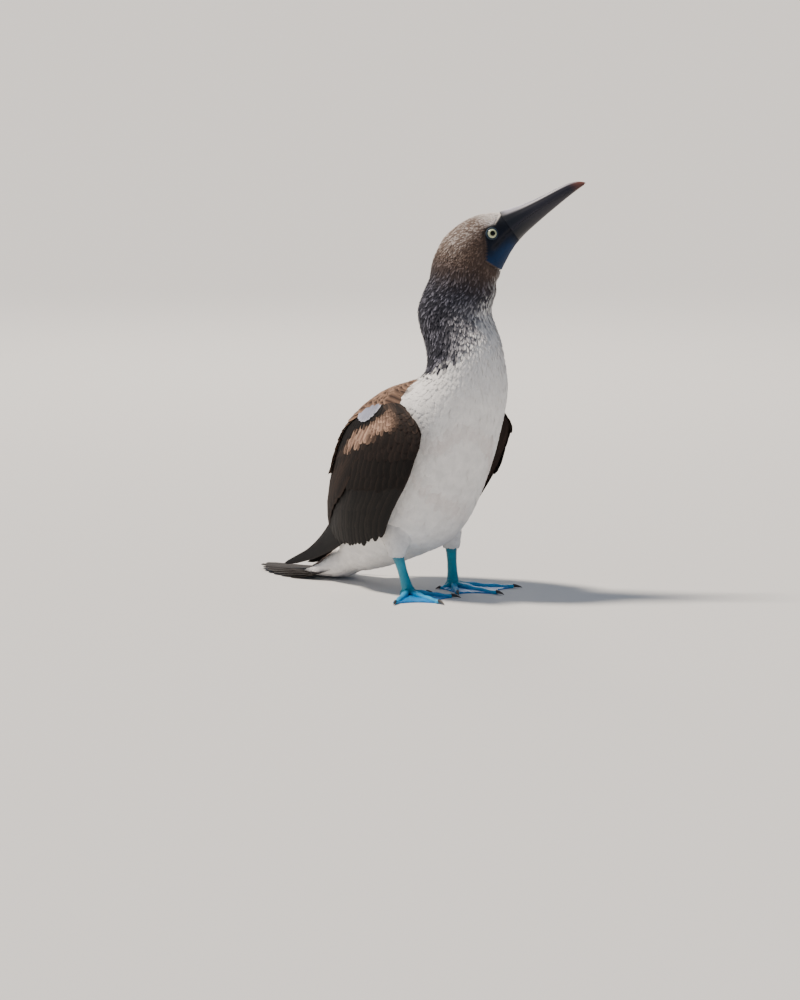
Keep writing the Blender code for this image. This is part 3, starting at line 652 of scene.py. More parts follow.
# Feathers that lie on a surface. Places across and along it and heights over it are pairs, for
# the roots and the tips, with one value for each feather. shape holds the stations' places along
# a feather and the share of its half width that each has.
def layFeathers(surface, u, v, lift, shape, half, middle, edge, skinPlace, tip=None, lean=0.0):
    centres, outs = [], []
    for share in (0.0, *shape["along"], 1.0):
        place, down, rise = (first + (last - first) * share for first, last in (u, v, lift))
        here, _, _, out = surfaceFrame(surface, place, down)
        centres.append(here + out * rise[:, None])
        outs.append(out)
    return {"centres": np.stack(centres, axis=1), "outs": np.stack(outs, axis=1),
            "half": np.reshape(half, (len(u[0]), -1)) * np.array(shape["half"]),
            "middle": middle, "edge": edge, "tip": edge if tip is None else tip, "lean": lean,
            "skinPlace": np.stack(skinPlace, axis=1)}


# Places across a row of feathers, each row half a step from the last.
def staggered(columns, row, stray, draw):
    return np.arange(columns) + 0.5 * (row % 2) + draw.uniform(-stray, stray, columns)


# Places on the bake's map for feathers that lie side by side.
def sideBySide(count):
    return np.stack([np.linspace(0.1, 0.9, count), np.full(count, 0.5)], axis=1)


coat = {
    # sizes by place along the body, from the tail's wedge to the bill
    "places": [-5, 0, 4, 9, 12, 13.5, 15, 17, 19.5, 21, 23, 25, 27],
    "length": [17, 23, 24, 23, 21, 18, 15, 13, 11, 9, 7.2, 5.6, 4.0],
    "width": [7.6, 8.8, 9.2, 8.8, 8.0, 6.4, 4.5, 3.6, 3.1, 2.7, 2.3, 1.95, 1.6],
    "rowStep": [4.9, 5.2, 5.4, 5.1, 4.7, 3.9, 3.2, 2.75, 2.4, 2.05, 1.7, 1.45, 1.3],
    "columnStep": [4.5, 5.0, 5.2, 5.0, 4.5, 3.7, 2.85, 2.4, 2.1, 1.85, 1.6, 1.4, 1.2],
    "tipLift": [0.4, 0.5, 0.5, 0.5, 0.6, 1.0, 1.6, 1.8, 1.6, 1.1, 0.8, 0.5, 0.3],
    "point": [0.1, 0.1, 0.1, 0.15, 0.2, 0.4, 0.8, 1.0, 1.0, 0.9, 0.8, 0.7, 0.7],
    "rounded": (0.60, 0.98, 0.92, 0.58),     # half widths at the stations on the trunk
    "pointed": (0.70, 1.00, 0.60, 0.28),     # and on the neck
    "look": {"thick": 0.30, "camber": 0.16, "shaftShift": 0.0, "sharp": 80.0,
             "rootShade": 0.78, "tipFrom": 0.55, "along": (0.16, 0.52, 0.80, 0.94)},
    "yaw": 7.0,              # how far feathers stray from the lie, in degrees
    "stray": 0.34,           # and their roots from the middle of their column, in columns
    "rootDepth": -1.5,
    "eyeClear": 8.6,         # no feather roots nearer the eye's middle
}


def coatSize(key, at):
    return np.interp(at - trunkStart, coat["places"], coat[key])


# Roots in rows from the bill back to the tail.
def scatterBody(start, end, draw):
    places, angles = [], []
    at, row, step = start, 0, 0.02
    around = np.linspace(0, fullTurn, body["around"] + 1)
    while at > end:
        ring, ahead = (tubePoint(bodyTube, np.full(len(around), place), around)
                       for place in (at, at - step))
        lengths = np.concatenate([[0], np.cumsum(np.linalg.norm(np.diff(ring, axis=0), axis=1))])
        columns = max(8, int(lengths[-1] / coatSize("columnStep", at)))
        spot = staggered(columns, row, coat["stray"], draw)
        angles.append(np.interp((spot / columns * lengths[-1]) % lengths[-1], lengths, around))
        rowStep = coatSize("rowStep", at) / np.mean(np.linalg.norm(ahead - ring, axis=1) / step)
        places.append(at + draw.uniform(-0.4, 0.4, columns) * rowStep)
        at -= rowStep
        row += 1
    return np.clip(np.concatenate(places), end, bodyEnd - 0.02), np.concatenate(angles)


def bodyFeathers(start, end, seed):
    draw = np.random.default_rng(seed)
    at, angle = scatterBody(start, end, draw)
    here, acrossWay, alongWay, _ = surfaceFrame(bodySurface, angle, -at)
    length = coatSize("length", at) * draw.uniform(0.85, 1.15, len(at))
    yaw = np.radians(draw.normal(0, coat["yaw"], len(at)))
    v1 = np.minimum(-at + length * np.cos(yaw) / np.linalg.norm(alongWay, axis=1), -0.01)
    u1 = angle + length * np.sin(yaw) / np.linalg.norm(acrossWay, axis=1)
    # the bare face and the eye stay clear of roots, tips and shafts
    tipPoint = bodySurface["at"](u1, v1)
    (forward, _, up), (tipForward, _, tipUp) = inHead(here), inHead(tipPoint)
    hidden = (bareAmount(here) > -0.5) | (bareAmount(tipPoint) > 0.6) \
        | (np.hypot(forward, up) < coat["eyeClear"]) \
        | (np.hypot((forward + tipForward) / 2, (up + tipUp) / 2) < coat["eyeClear"] - 0.6)
    keep = ~(hidden & (at > trunkStart + body["headFrom"]))
    at, angle, here, u1, v1 = (part[keep] for part in (at, angle, here, u1, v1))
    count = len(at)
    tipLift = coatSize("tipLift", at) * draw.uniform(0.6, 1.2, count)
    outline = blend(np.array(coat["rounded"]), np.array(coat["pointed"]), coatSize("point", at))
    half = coatSize("width", at)[:, None] / 2 * outline * draw.uniform(0.88, 1.12, (count, 1))
    middle, edge, tip = plumageColours(at, angle, here, draw)
    return layFeathers(
        bodySurface, (angle, u1), (-at, v1), (coat["rootDepth"], tipLift),
        {"along": coat["look"]["along"], "half": 1.0}, half, middle, edge,
        (0.02 + 0.96 * angle / fullTurn, 0.02 + 0.96 * at / bodyEnd), tip,
        draw.uniform(-0.05, 0.05, count))


legs = {
    # x, y, z and radius down the thigh
    "thigh": [(34, 24, 104, 24), (37, 19, 92, 23.5), (40, 12, 80, 21), (44, 6, 66, 16.5),
              (47, 2.5, 55, 11.5), (48.4, 1.2, 46, 8.4)],
    "thighDepth": 1.15,      # deeper than wide
    "thighSkin": -1.6, "thighRings": 14, "thighAround": 28,
    "featherRows": 30, "topColumns": 34, "columnsLost": 0.6,      # lost by each row
    # by place down the thigh
    "featherPlaces": (0, 3, 4.6), "featherLength": (17, 13, 6.5), "featherHalf": (3.8, 2.8, 1.5),
    "lastRow": 4.55, "lastTip": 5.12,
    "ankle": (48.0, 1.0, 47.0), "heel": (40.0, -9.0, 9.0),
    "shankRadius": [(0.0, 6.4), (0.08, 6.2), (0.2, 5.4), (0.45, 4.8), (0.7, 5.1), (0.88, 5.9),
                    (1.0, 6.5)],
    "shankRings": 70, "shankAround": 20, "shankLength": 50.0, "shankDeep": 1.25,
    "overlap": (2.5, 4.5),   # the shank starts above the ankle and ends below the heel's height
    "scuteStep": 2.9,        # rings of scutes down the shank and along the toes
    "scuteRise": 0.045,
    "teal": "#0B93AB", "tealDark": "#0A7088", "azure": "#0590D6", "azureDeep": "#0476C4",
    "toeBlue": "#18A2D8",
}


def thighSections(side):
    deep = legs["thighDepth"]
    return np.array([(x * side, y - radius * deep, z, x * side, y + radius * deep, z, 1, 0, 0,
                      radius, 0) for x, y, z, radius in legs["thigh"]], float)


def makeBodySkin(material):
    split = bodyEnd - body["headSections"]
    places = np.concatenate([np.linspace(0, split - 0.1, body["trunkRings"]),
                             np.linspace(split, bodyEnd, body["headRings"])])
    around = np.arange(body["around"]) / body["around"] * fullTurn
    rings = []
    for place in places:
        at = np.full(body["around"], place)
        # at the bill the bare face lies flush with the solids, elsewhere under the feathers
        ring = tubePoint(bodyTube, at, around)
        bare = ease(bareAmount(ring), -1.0, 1.0) * (place > trunkStart + body["headFrom"])
        depth = -body["skinDepth"] * (1 - body["bareFlush"] * bare)
        depth *= 1 - body["billFlush"] * ease(place, bodyEnd - 2.5, bodyEnd)
        depth -= bareFace["gapeDepth"] * bare * ease(gapeGap(ring), 1.5, 0.3)
        rings.append(tubePoint(bodyTube, at, around, depth))
    bm = loftRings(rings)
    count = legs["thighAround"]
    for side, _ in sides:
        joinInto(bm, loftRings([
            tubePoint(thighSections(side), np.full(count, place),
                      np.arange(count) / count * fullTurn, legs["thighSkin"])
            for place in np.linspace(0, len(legs["thigh"]) - 1, legs["thighRings"])]))
    mesh = smoothMesh(takeMesh("bodySkin", bm))
    points = vertexPlaces(mesh)
    total = len(places) * body["around"]
    colours = np.tile(paint["white"], (len(points), 1))
    colours[:total] = skinColours(np.repeat(places, body["around"]),
                                  np.tile(around, len(places)), points[:total])
    setColours(mesh, colours)
    addPiece("bodySkin", mesh, material,
             ("torso", "neck_lower", "neck_upper", "head", "thigh_left", "thigh_right"))


def makeThighFeathers(material):
    for side, name in sides:
        draw = np.random.default_rng(40 + side)
        surface = tubeSurface(thighSections(side), 1.0)
        rows, u0, v0 = legs["featherRows"], [], []
        for row in range(rows):
            columns = int(legs["topColumns"] - legs["columnsLost"] * row)
            u0.append(staggered(columns, row, 0.3, draw) / columns * fullTurn)
            v0.append(legs["lastRow"] * row / (rows - 1) + draw.uniform(-0.05, 0.05, columns))
        u0, v0 = np.concatenate(u0), np.clip(np.concatenate(v0), 0.02, 4.6)
        length, half = (np.interp(v0, legs["featherPlaces"], legs[key])
                        for key in ("featherLength", "featherHalf"))
        _, acrossWay, alongWay, _ = surfaceFrame(surface, u0, v0)
        length = length * draw.uniform(0.85, 1.15, len(u0))
        u1 = u0 + length * draw.normal(0, 0.14, len(u0)) / np.linalg.norm(acrossWay, axis=1)
        v1 = np.minimum(v0 + length / np.linalg.norm(alongWay, axis=1), legs["lastTip"])
        lift = (-1.2, draw.uniform(0.3, 1.2, len(u0)))
        chance = draw.random(len(u0))
        middle, edge = (blend(paint["white"], paint["greyWhite"], share * chance)
                        for share in (0.6, 0.25))
        shape = {"along": coat["look"]["along"], "half": coat["rounded"]}
        makeVanes("thighFeathers_" + name, layFeathers(
            surface, (u0, u1), (v0, v1), lift, shape, half, middle, edge,
            (u0 / 7 + 0.03, v0 / 5)), coat["look"], material)


# The folded wings

wing = {
    # the right wing's front and rear edges from the top down, and how far it bulges between them
    "front": [(62, -10, 230), (76, -48, 216), (80, -65, 196), (82, -56, 170), (82, -44, 144),
              (81, -26, 119), (78, -8, 92), (70, 6, 58)],
    "rear": [(34, 50, 236), (42, 68, 217), (47, 83, 194), (48, 95, 168), (46, 107, 138),
             (43, 116, 110), (38, 121, 80), (33, 120, 46)],
    "bow": [8, 13, 17, 19, 19, 18, 16, 12],
    "crown": (27.0, 9.0),        # how far the top folds in to the back, and how high it bulges
    "tip": (9, 222, 10.5), "leftTipShift": (8, -14, 0), "primaries": 9,
    # how the primaries' tips step back from the longest one's, and how that bends
    "tipSteps": 5, "tipStep": (1.4, -17.5, 6.4), "tipBend": (0.6, 0, 0.7),
    "primaryHalf": (10.6, 9.0),
    # across and down the wing and over it, where the first and the last primary start and bend
    "primaryBends": [((0.06, 0.18), (0.32, 0.37), -4.4), ((0.16, 0.42), (0.84, 0.77), -6.2),
                     ((0.72, 0.86), (1.0, 0.87), -7.0)],
    "padRows": (-0.035, -0.012, 0.04, 0.10, 0.18, 0.26, 0.36, 0.46, 0.56, 0.66, 0.76),
    "padColumns": 15, "padCore": (4.0, 12.0),
    "padFill": (0.40, 0.30, 0.54),   # most share of the way to the core, where it lessens, over
    "padSwell": (2.4, -1.6, 0.46),   # at the top, at the least, and where it has gone
    "padFaces": (2.4, 3.6),          # how deep the outer and the inner face lie
    "padSunk": (15.0, 8.0),          # in and down, under the scapulars
    "padColour": "#2A1F1A",
}


def wingSurface(side):
    front, rear = np.array(wing["front"], float), np.array(wing["rear"], float)
    bow = np.array(wing["bow"], float)[:, None]

    def at(u, v):
        place = np.clip(v, 0, 1.06) * (len(front) - 1)
        start, end, swell = (smoothThrough(keys, place) for keys in (front, rear, bow))
        out = unit(np.cross(end - start, np.array([0, 0, 1.0])))
        out = out * np.sign(out[:, :1])
        share = u[:, None]
        point = start + (end - start) * share + out * swell * 4 * share * (1 - share)
        fold = np.clip(-v / 0.10, 0, 1.6)[:, None]
        inward, rise = wing["crown"]
        point = point - out * inward * fold
        point[:, 2:] += rise * np.sin(np.clip(fold * 1.05, 0, 1.4) * math.pi)
        return point * np.array([side, 1, 1])

    return {"at": at, "turn": -float(side)}


wingColours = {      # along the shaft, and at the edges
    # ridge: painted sunlight, a pale tan for the top of the forearm
    "lesser": ("#15100E", "#261B16"), "ridge": ("#86695A", "#BC9B84"),
    # gap: painted shadow, near black, for the gap under the scapulars
    "gap": ("#080606", "#0D0A09"), "median": ("#16100E", "#231915"),
    "greater": ("#0D0A09", "#1B1411"), "flight": ("#060505", "#1B1512"),
    "primary": ("#0A0807", "#100C0B"), "lining": ("#1C1512", "#30251F"),
    # scapular: the feathers' own brown with pale edges, made lighter in part by painted sunlight
    "tertial": ("#16100E", "#2A1F19"), "scapular": ("#3C2B24", "#9C7C67"),
    # pale: white feathers coloured blue-grey by painted shade
    "pale": ("#8A8DA0", "#B9BBC9"), "fringe": "#54433A",
}
wingRows = {
    # root v, tip v, feathers, half width, root and tip lift, colours
    "secondaries": [(0.40, 0.985, 18, 6.6, -1.6, -1.0, "flight")],
    "wingLining": [(0.05 + 0.065 * k, 0.17 + 0.070 * k, 15, 5.6, 0.4, 1.6, "lining")
                   for k in range(8)],
    "lesserCoverts": [(-0.01 + 0.020 * k, 0.085 + 0.0215 * k, 24, 4.0, 1.0, 3.0 - 0.08 * k,
                       "lesser") for k in range(12)],
    "medianCoverts": [(0.22, 0.36, 20, 5.2, 1.4, 2.5, "median"),
                      (0.26, 0.41, 20, 5.4, 1.1, 2.1, "median"),
                      (0.29, 0.46, 19, 5.6, 0.8, 1.8, "median")],
    "greaterCoverts": [(0.31, 0.57, 18, 6.4, 0.4, 1.5, "greater"),
                       (0.35, 0.66, 17, 6.6, 0.0, 1.0, "greater")],
    # painted shadow: the shoulder's feathers take the gap's near black, under the scapulars
    "shoulderFeathers": [(-0.045 + 0.022 * k, 0.050 + 0.022 * k, 14, 6.0, 0.6, 2.2, "gap")
                         for k in range(3)],
}
featherShapes = {
    "cover": {"along": (0.10, 0.35, 0.65, 0.86, 0.96), "half": (0.55, 0.92, 1.0, 0.82, 0.45)},
    "flight": {"along": (0.04, 0.16, 0.32, 0.50, 0.70, 0.86, 0.95, 0.99),
               "half": (0.5, 0.8, 0.95, 1.0, 1.0, 0.96, 0.76, 0.36)},
    "primary": {"along": (0.04, 0.16, 0.32, 0.50, 0.68, 0.82, 0.92, 0.98),
                "half": (0.5, 0.8, 0.95, 1.0, 0.94, 0.78, 0.52, 0.24)},
}
coverLook = {"thick": 0.5, "camber": 0.10, "shaftShift": 0.0, "sharp": 60.0, "rootShade": 0.75,
             "tipFrom": 0.72}
flightLook = {"thick": 0.9, "camber": 0.06, "shaftShift": -0.22, "sharp": 60.0,
              "rootShade": 0.8, "tipFrom": 0.85}


def colourPair(name, chance):
    shade = 0.78 + 0.44 * chance[:, None]
    return [linearColour(code) * shade for code in wingColours[name]]


# Feathers in rows across the wing, from its front edge to its rear edge.
def wingFeathers(surface, name, draw, shape="cover", across=(0.04, 0.96)):
    parts = []
    for root, tip, count, half, lift0, lift1, colours in wingRows[name]:
        share = (np.arange(count) + draw.uniform(-0.15, 0.15, count)) / (count - 1)
        u0 = across[0] + (across[1] - across[0]) * share
        u1 = np.clip(u0 + 0.02 * (share - 0.4) + draw.normal(0, 0.006, count), 0.01, 0.985)
        drop = 0.05 * np.abs(share - 0.45) ** 2 * 4
        v1 = tip - drop * (0.4 if tip < 0.9 else 1.0) + draw.normal(0, 0.009, count)
        chance = draw.random(count)
        middle, edge = colourPair(colours, chance)
        if colours in ("lesser", "median", "greater"):
            # painted sunlight: a pale tan band along the forearm's ridge; painted shadow: near
            # black in the gap above it
            crest = 0.085 + 0.34 * u1 + 0.18 * u1 ** 2
            ridge = ease(np.abs(v1 - crest), 0.105, 0.03) * ease(u0, 0.12, 0.34) \
                * ease(u0, 0.81, 0.73) * (0.75 + 0.25 * chance)
            gap = ease(v1 - crest, -0.055, -0.10) * ease(u0, 0.2, 0.4)
            for over, amount in (("ridge", ridge), ("gap", gap)):
                overMiddle, overEdge = colourPair(over, chance)
                middle, edge = blend(middle, overMiddle, amount), blend(edge, overEdge, amount)
            fringe = ease(u0, 0.10, 0.04) * (chance > 0.5) * (0.4 if tip < 0.3 else 0.0)
            edge = layOver(edge, (wingColours["fringe"], fringe))
        # feathers lie flat where the scapulars come down over them
        freed = 0.1 + 0.9 * ease(v1 - capeEdge(u1), 0.01, 0.08)
        rise = (lift1 + draw.uniform(-0.25, 0.35, count)) * freed
        clear = v1 > capeEdge(u1) - 0.01
        parts.append([value[clear] for value in (u0, u1, np.full(count, root), v1, lift0 * freed,
                                                 rise, np.full(count, half), middle, edge)])
    u0, u1, v0, v1, low, high, half, middle, edge = (np.concatenate(part) for part in zip(*parts))
    return layFeathers(surface, (u0, u1), (v0, v1), (low, high), featherShapes[shape], half,
                       middle, edge, (0.05 + 0.9 * u0, 0.1 + 0.7 * np.clip(v0 + 0.2, 0, 1.2)),
                       lean=0.10 * surface["turn"])


# The long primaries cross over the rump to one point, so each follows a bend of its own.
def primaryFeathers(side):
    shape, count = featherShapes["primary"], wing["primaries"]
    share = np.linspace(0, 1, count)
    corners = []
    for (u0, u1), (v0, v1), lift in wing["primaryBends"]:
        here, _, _, out = surfaceFrame(wingSurface(1), u0 + (u1 - u0) * share,
                                       v0 + (v1 - v0) * share)
        corners.append(here + out * lift)
    tip = np.array(wing["tip"], float) + np.array(wing["leftTipShift"]) * (side > 0)
    reach = wing["tipSteps"] * share[:, None]
    corners.append(tip + np.array(wing["tipStep"]) * reach
                   + np.array(wing["tipBend"]) * reach ** 2)
    centres, outs = [], []
    for t in (0.0, *shape["along"], 1.0):
        weights = ((1 - t) ** 3, 3 * (1 - t) ** 2 * t, 3 * (1 - t) * t ** 2, t ** 3)
        centres.append(sum(corner * weight for corner, weight in zip(corners, weights)))
        outs.append(np.tile([1, 0.28 - 0.1 * t, 0.10 + 0.35 * t], (count, 1)))
    mirror = np.array([side, 1, 1])
    middle, edge = colourPair("primary", np.random.default_rng(71).random(count))
    return {"centres": np.stack(centres, axis=1) * mirror, "middle": middle, "edge": edge,
            "outs": np.stack(outs, axis=1) * mirror, "tip": edge, "lean": -0.1 * side,
            "half": np.linspace(*wing["primaryHalf"], count)[:, None] * np.array(shape["half"]),
            "skinPlace": sideBySide(count)}


# How far the wing's inner face is drawn in towards the body, where the pad is thick.
def padInward(side, here, u, v):
    toCore = np.array([wing["padCore"][0] * side, wing["padCore"][1], 0.0]) - here
    toCore[:, 2] = 0
    most, start, reach = wing["padFill"]
    fill = most * (1 - np.maximum(0.0, v - start) / reach) * (1 - 0.85 * ease(u, 0.7, 1.0))
    return toCore * fill[:, None]


def makeWingPad(side, name, material):
    rings = []
    u = np.linspace(0.0, 1.0, wing["padColumns"])
    (most, least, goneAt), (outer, inner) = wing["padSwell"], wing["padFaces"]
    sunkIn, sunkDown = wing["padSunk"]
    for v in wing["padRows"]:
        here, _, _, out = surfaceFrame(wingSurface(side), u, np.full(len(u), v))
        bulge = np.sin(math.pi * np.clip(u, 0.02, 0.98)) ** 0.4
        swell = np.maximum(least, most * bulge * (1 - max(v, 0) / goneAt))
        # the pad sinks in where the scapulars cover it
        under = ease(capeEdge(u) - v, -0.04, 0.05)[:, None]
        inward = padInward(side, here, u, v) * (1 - 0.8 * under)
        here = here - out * (sunkIn * under) - np.array([0, 0, sunkDown]) * under
        rings.append(np.concatenate([here + out * (swell - outer)[:, None],
                                     (here - out * inner + inward)[::-1]]))
    mesh = smoothMesh(takeMesh("wingPad_" + name, loftRings(rings)))
    setColours(mesh, linearColour(wing["padColour"]))
    addPiece("wingPad_" + name, mesh, material)


# The wing's inner face, which looks towards the body.
def liningSurface(side):
    sheet = wingSurface(side)

    def at(u, v):
        here, _, _, out = surfaceFrame(sheet, u, v)
        return here - out * 4.0 + padInward(side, here, u, v)

    return {"at": at, "turn": -sheet["turn"]}


tertials = {
    # root u, tip u, root v and tip v of the first, and what each next one adds
    "count": 5, "first": (0.50, 0.70, 0.14, 0.72), "step": (0.085, 0.062, -0.012, 0.045),
    "rootLift": 1.2, "tipLift": (2.3, 1.2), "half": 10.5,
}


def tertialFeathers(side, draw):
    count = tertials["count"]
    u0, u1, v0, v1 = (first + step * np.arange(count)
                      for first, step in zip(tertials["first"], tertials["step"]))
    middle, edge = colourPair("tertial", draw.random(count))
    lift = (tertials["rootLift"], np.linspace(*tertials["tipLift"], count))
    return layFeathers(wingSurface(side), (u0, u1), (v0, v1), lift, featherShapes["flight"],
                       np.full(count, tertials["half"]), middle, edge, (u0, v0),
                       lean=-0.06 * side)


# Scapulars root on the shoulder and run back over the gap between the back and the wing, on a
# sheet stretched between a line on the body and a line on the wing.

cape = {
    # place and angle on the body, then u and v on the wing
    "lines": [(12.6, 0.74, 0.03, 0.050), (11.8, 0.64, 0.18, 0.028), (10.9, 0.52, 0.40, 0.042),
              (9.8, 0.40, 0.62, 0.078), (8.5, 0.32, 0.82, 0.155), (7.0, 0.28, 0.93, 0.25),
              (5.6, 0.27, 0.97, 0.36), (4.2, 0.27, 0.98, 0.48), (3.0, 0.28, 0.985, 0.60)],
    "bow": 6.0,
    "sunk": 3.5,                 # how deep the first row's roots lie under the breast's coat
    "rows": 18, "columns": 9,
    "length": 0.19,              # of a feather, as a share of the sheet's length
    "half": (6.6, 7.6),          # half width at the body and at the wing
    "lift": (1.6, 4.4),
    "paleCount": 15, "paleHalf": 5.4,
}


# How far down the wing the scapulars reach at a place across it.
def capeEdge(u):
    return np.interp(u, *np.array(cape["lines"])[:, 2:].T)


def capeSurface(side):
    lines = np.array(cape["lines"])

    def at(u, v):
        place = smoothThrough(lines, np.clip(v, 0, 1) * (len(lines) - 1))
        inner = tubePoint(bodyTube, place[:, 0] + trunkStart, place[:, 1] * side)
        outer = wingSurface(side)["at"](place[:, 2], place[:, 3])
        share = u[:, None]
        lift = cape["bow"] * 4 * share * (1 - share) * ease(v, 0.0, 0.3)[:, None]
        return inner + (outer - inner) * share + np.array([0.35 * side, 0.35, 0.87]) * lift

    return {"at": at, "turn": float(side)}


def scapularFeathers(side, draw):
    columns, u0, v0 = cape["columns"], [], []
    for row in range(cape["rows"]):
        u0.append(staggered(columns, row, 0.2, draw) / (columns - 0.5))
        v0.append(row / (cape["rows"] - 1) * (1.0 - cape["length"])
                  + draw.uniform(-0.016, 0.016, columns))
    u0, v0 = np.clip(np.concatenate(u0), 0, 1.02), np.clip(np.concatenate(v0), 0, 1)
    count = len(u0)
    chance = draw.random(count)
    v1 = np.minimum(v0 + cape["length"] * draw.uniform(0.85, 1.1, count), 0.995)
    u1 = np.clip(u0 + draw.normal(0.01, 0.025, count), 0, 1.06)
    # the scapulars' own brown with pale edges and buff tips, made lighter in part by painted
    # sunlight
    middle, edge = colourPair("scapular", chance)
    (halfIn, halfOut), (liftIn, liftOut) = cape["half"], cape["lift"]
    return layFeathers(
        capeSurface(side), (u0, u1), (v0, v1),
        (0.2 - cape["sunk"] * ease(v0, 0.16, 0.0), liftIn + (liftOut - liftIn) * u0 ** 2),
        featherShapes["cover"], halfIn + (halfOut - halfIn) * u0, middle, edge,
        (0.05 + 0.9 * np.clip(u0, 0, 1), 0.05 + 0.9 * v0), blend(edge, paint["buff"],
                                                                 0.45 * chance))


# The white patch that shows between the scapulars and the wing, its white feathers coloured
# blue-grey as painted shade.
def shadedPaleFeathers(side, draw):
    count = cape["paleCount"]
    share, odd = np.linspace(0, 1, count), np.arange(count) % 2
    v1 = 0.125 + 0.07 * share + 0.055 * np.sin(share * math.pi) + 0.008 * odd
    middle, edge = colourPair("pale", 0.2 + 0.5 * share + 0.2 * draw.random(count))
    return layFeathers(
        wingSurface(side), (0.44 + 0.26 * share, 0.48 + 0.30 * share), (0.050 + 0.050 * share, v1),
        (2.0, 3.6 + 0.4 * odd), featherShapes["cover"], np.full(count, cape["paleHalf"]), middle,
        edge, (0.1 + 0.8 * share, np.full(count, 0.5)))


def makeWing(side, name, materials):
    surface = wingSurface(side)
    draw = np.random.default_rng(90 + side)
    makeWingPad(side, name, materials["skin"])
    # from the long feathers below to the scapulars, which lie over them all
    tiers = {
        "secondaries": (wingFeathers(surface, "secondaries", draw, "flight"), flightLook,
                        "flight"),
        "primaries": (primaryFeathers(side), flightLook, "flight"),
        "tertials": (tertialFeathers(side, draw), flightLook, "cover"),
        "wingLining": (wingFeathers(liningSurface(side), "wingLining", draw,
                                    across=(0.13, 0.86)), coverLook, "cover"),
        **{tier: (wingFeathers(surface, tier, draw), coverLook, "cover") for tier in
           ("lesserCoverts", "medianCoverts", "greaterCoverts", "shoulderFeathers")},
        "shadedPaleScapulars": (shadedPaleFeathers(side, draw), coverLook, "down"),
        "scapulars": (scapularFeathers(side, draw), coverLook, "mantle"),
    }
    for tier, (feathers, look, finish) in tiers.items():
        makeVanes(f"{tier}_{name}", feathers, look, materials[finish],
                  ("wing_" + name,) if tier == "secondaries" else ())


# The tail: twelve stiff feathers in a wedge, bent down to lie along the ground

tail = {
    "pairs": 6, "length": 142.0, "root": (2.5, 121.0, 27.0), "spread": (0.9, 2.7),
    "layer": (5.4, -0.95), "half": 11.0, "bend": 36.0,
    # what a pair loses in length, by its number from the middle and by its square, and in width
    "shorter": (0.075, 0.006), "narrower": 0.5,
    "rootStep": (3.0, -1.4),     # out and up for each pair
    "leftOver": 0.45,            # a left feather lies this much over the right one
    "colours": ("#0F0B0A", "#211914"),
    "look": {**flightLook, "shaftShift": 0.0, "camber": 0.03},
}


def makeTail(material):
    shape = featherShapes["flight"]
    shares = np.array([0.0, *shape["along"], 1.0])
    centres, half = [], []
    for pair in range(tail["pairs"] - 1, -1, -1):
        length = tail["length"] * (1 - tail["shorter"][0] * pair
                                   - tail["shorter"][1] * pair * pair)
        for side, _ in sides:
            spread = side * math.radians(tail["spread"][0] + tail["spread"][1] * pair)
            (x, y, z), (outStep, rise) = tail["root"], tail["rootStep"]
            x, z = side * (x + outStep * pair), z + rise * pair
            layer = tail["layer"][0] + tail["layer"][1] * pair + tail["leftOver"] * (side > 0)
            run = length * shares
            fall = (1 - np.exp(-run / tail["bend"])) / (1 - math.exp(-length / tail["bend"]))
            centres.append(np.stack([x + math.sin(spread) * run, y + math.cos(spread) * run,
                                     z - (z - layer) * fall], axis=1))
            half.append((tail["half"] - tail["narrower"] * pair) * np.array(shape["half"]))
    count = len(centres)
    shade = 0.85 + 0.3 * np.random.default_rng(15).random(count)[:, None]
    middle, edge = (linearColour(code) * shade for code in tail["colours"])
    makeVanes("tailFeathers", {
        "centres": np.array(centres), "outs": np.tile([0.0, 0.0, 1.0], (count, len(shares), 1)),
        "half": np.array(half), "middle": middle, "edge": edge, "tip": edge * 1.1, "lean": 0.0,
        "skinPlace": sideBySide(count),
    }, tail["look"], material, ("tail",))


# The eyes and their lids

eyes = {
    "radius": 7.6, "spread": 17.2, "forward": 20.0,
    "pupil": 2.6, "iris": 5.6,
    "cornea": 0.55, "corneaFrom": 0.62,      # how far it bulges, from where as a share of radius
    "pupilColour": "#020303", "irisColour": "#B4BA9A", "irisRim": "#565C40",
    "sclera": "#12171B",
    "lidMajor": 6.5, "lidMinor": 1.25, "lidOut": 4.75, "lidOval": 0.96,
    "lidColour": "#2F3D4A",
}


def eyePlace(side):
    forward, left, _ = headAxes()
    turn = math.radians(eyes["forward"])
    look = left * side * math.cos(turn) + forward * math.sin(turn)
    return headPoint(0.0, side * eyes["spread"], 0.0), look / np.linalg.norm(look)


# Eye: a wet, clear surface over a pale iris. Its rings are drawn about the way it looks.

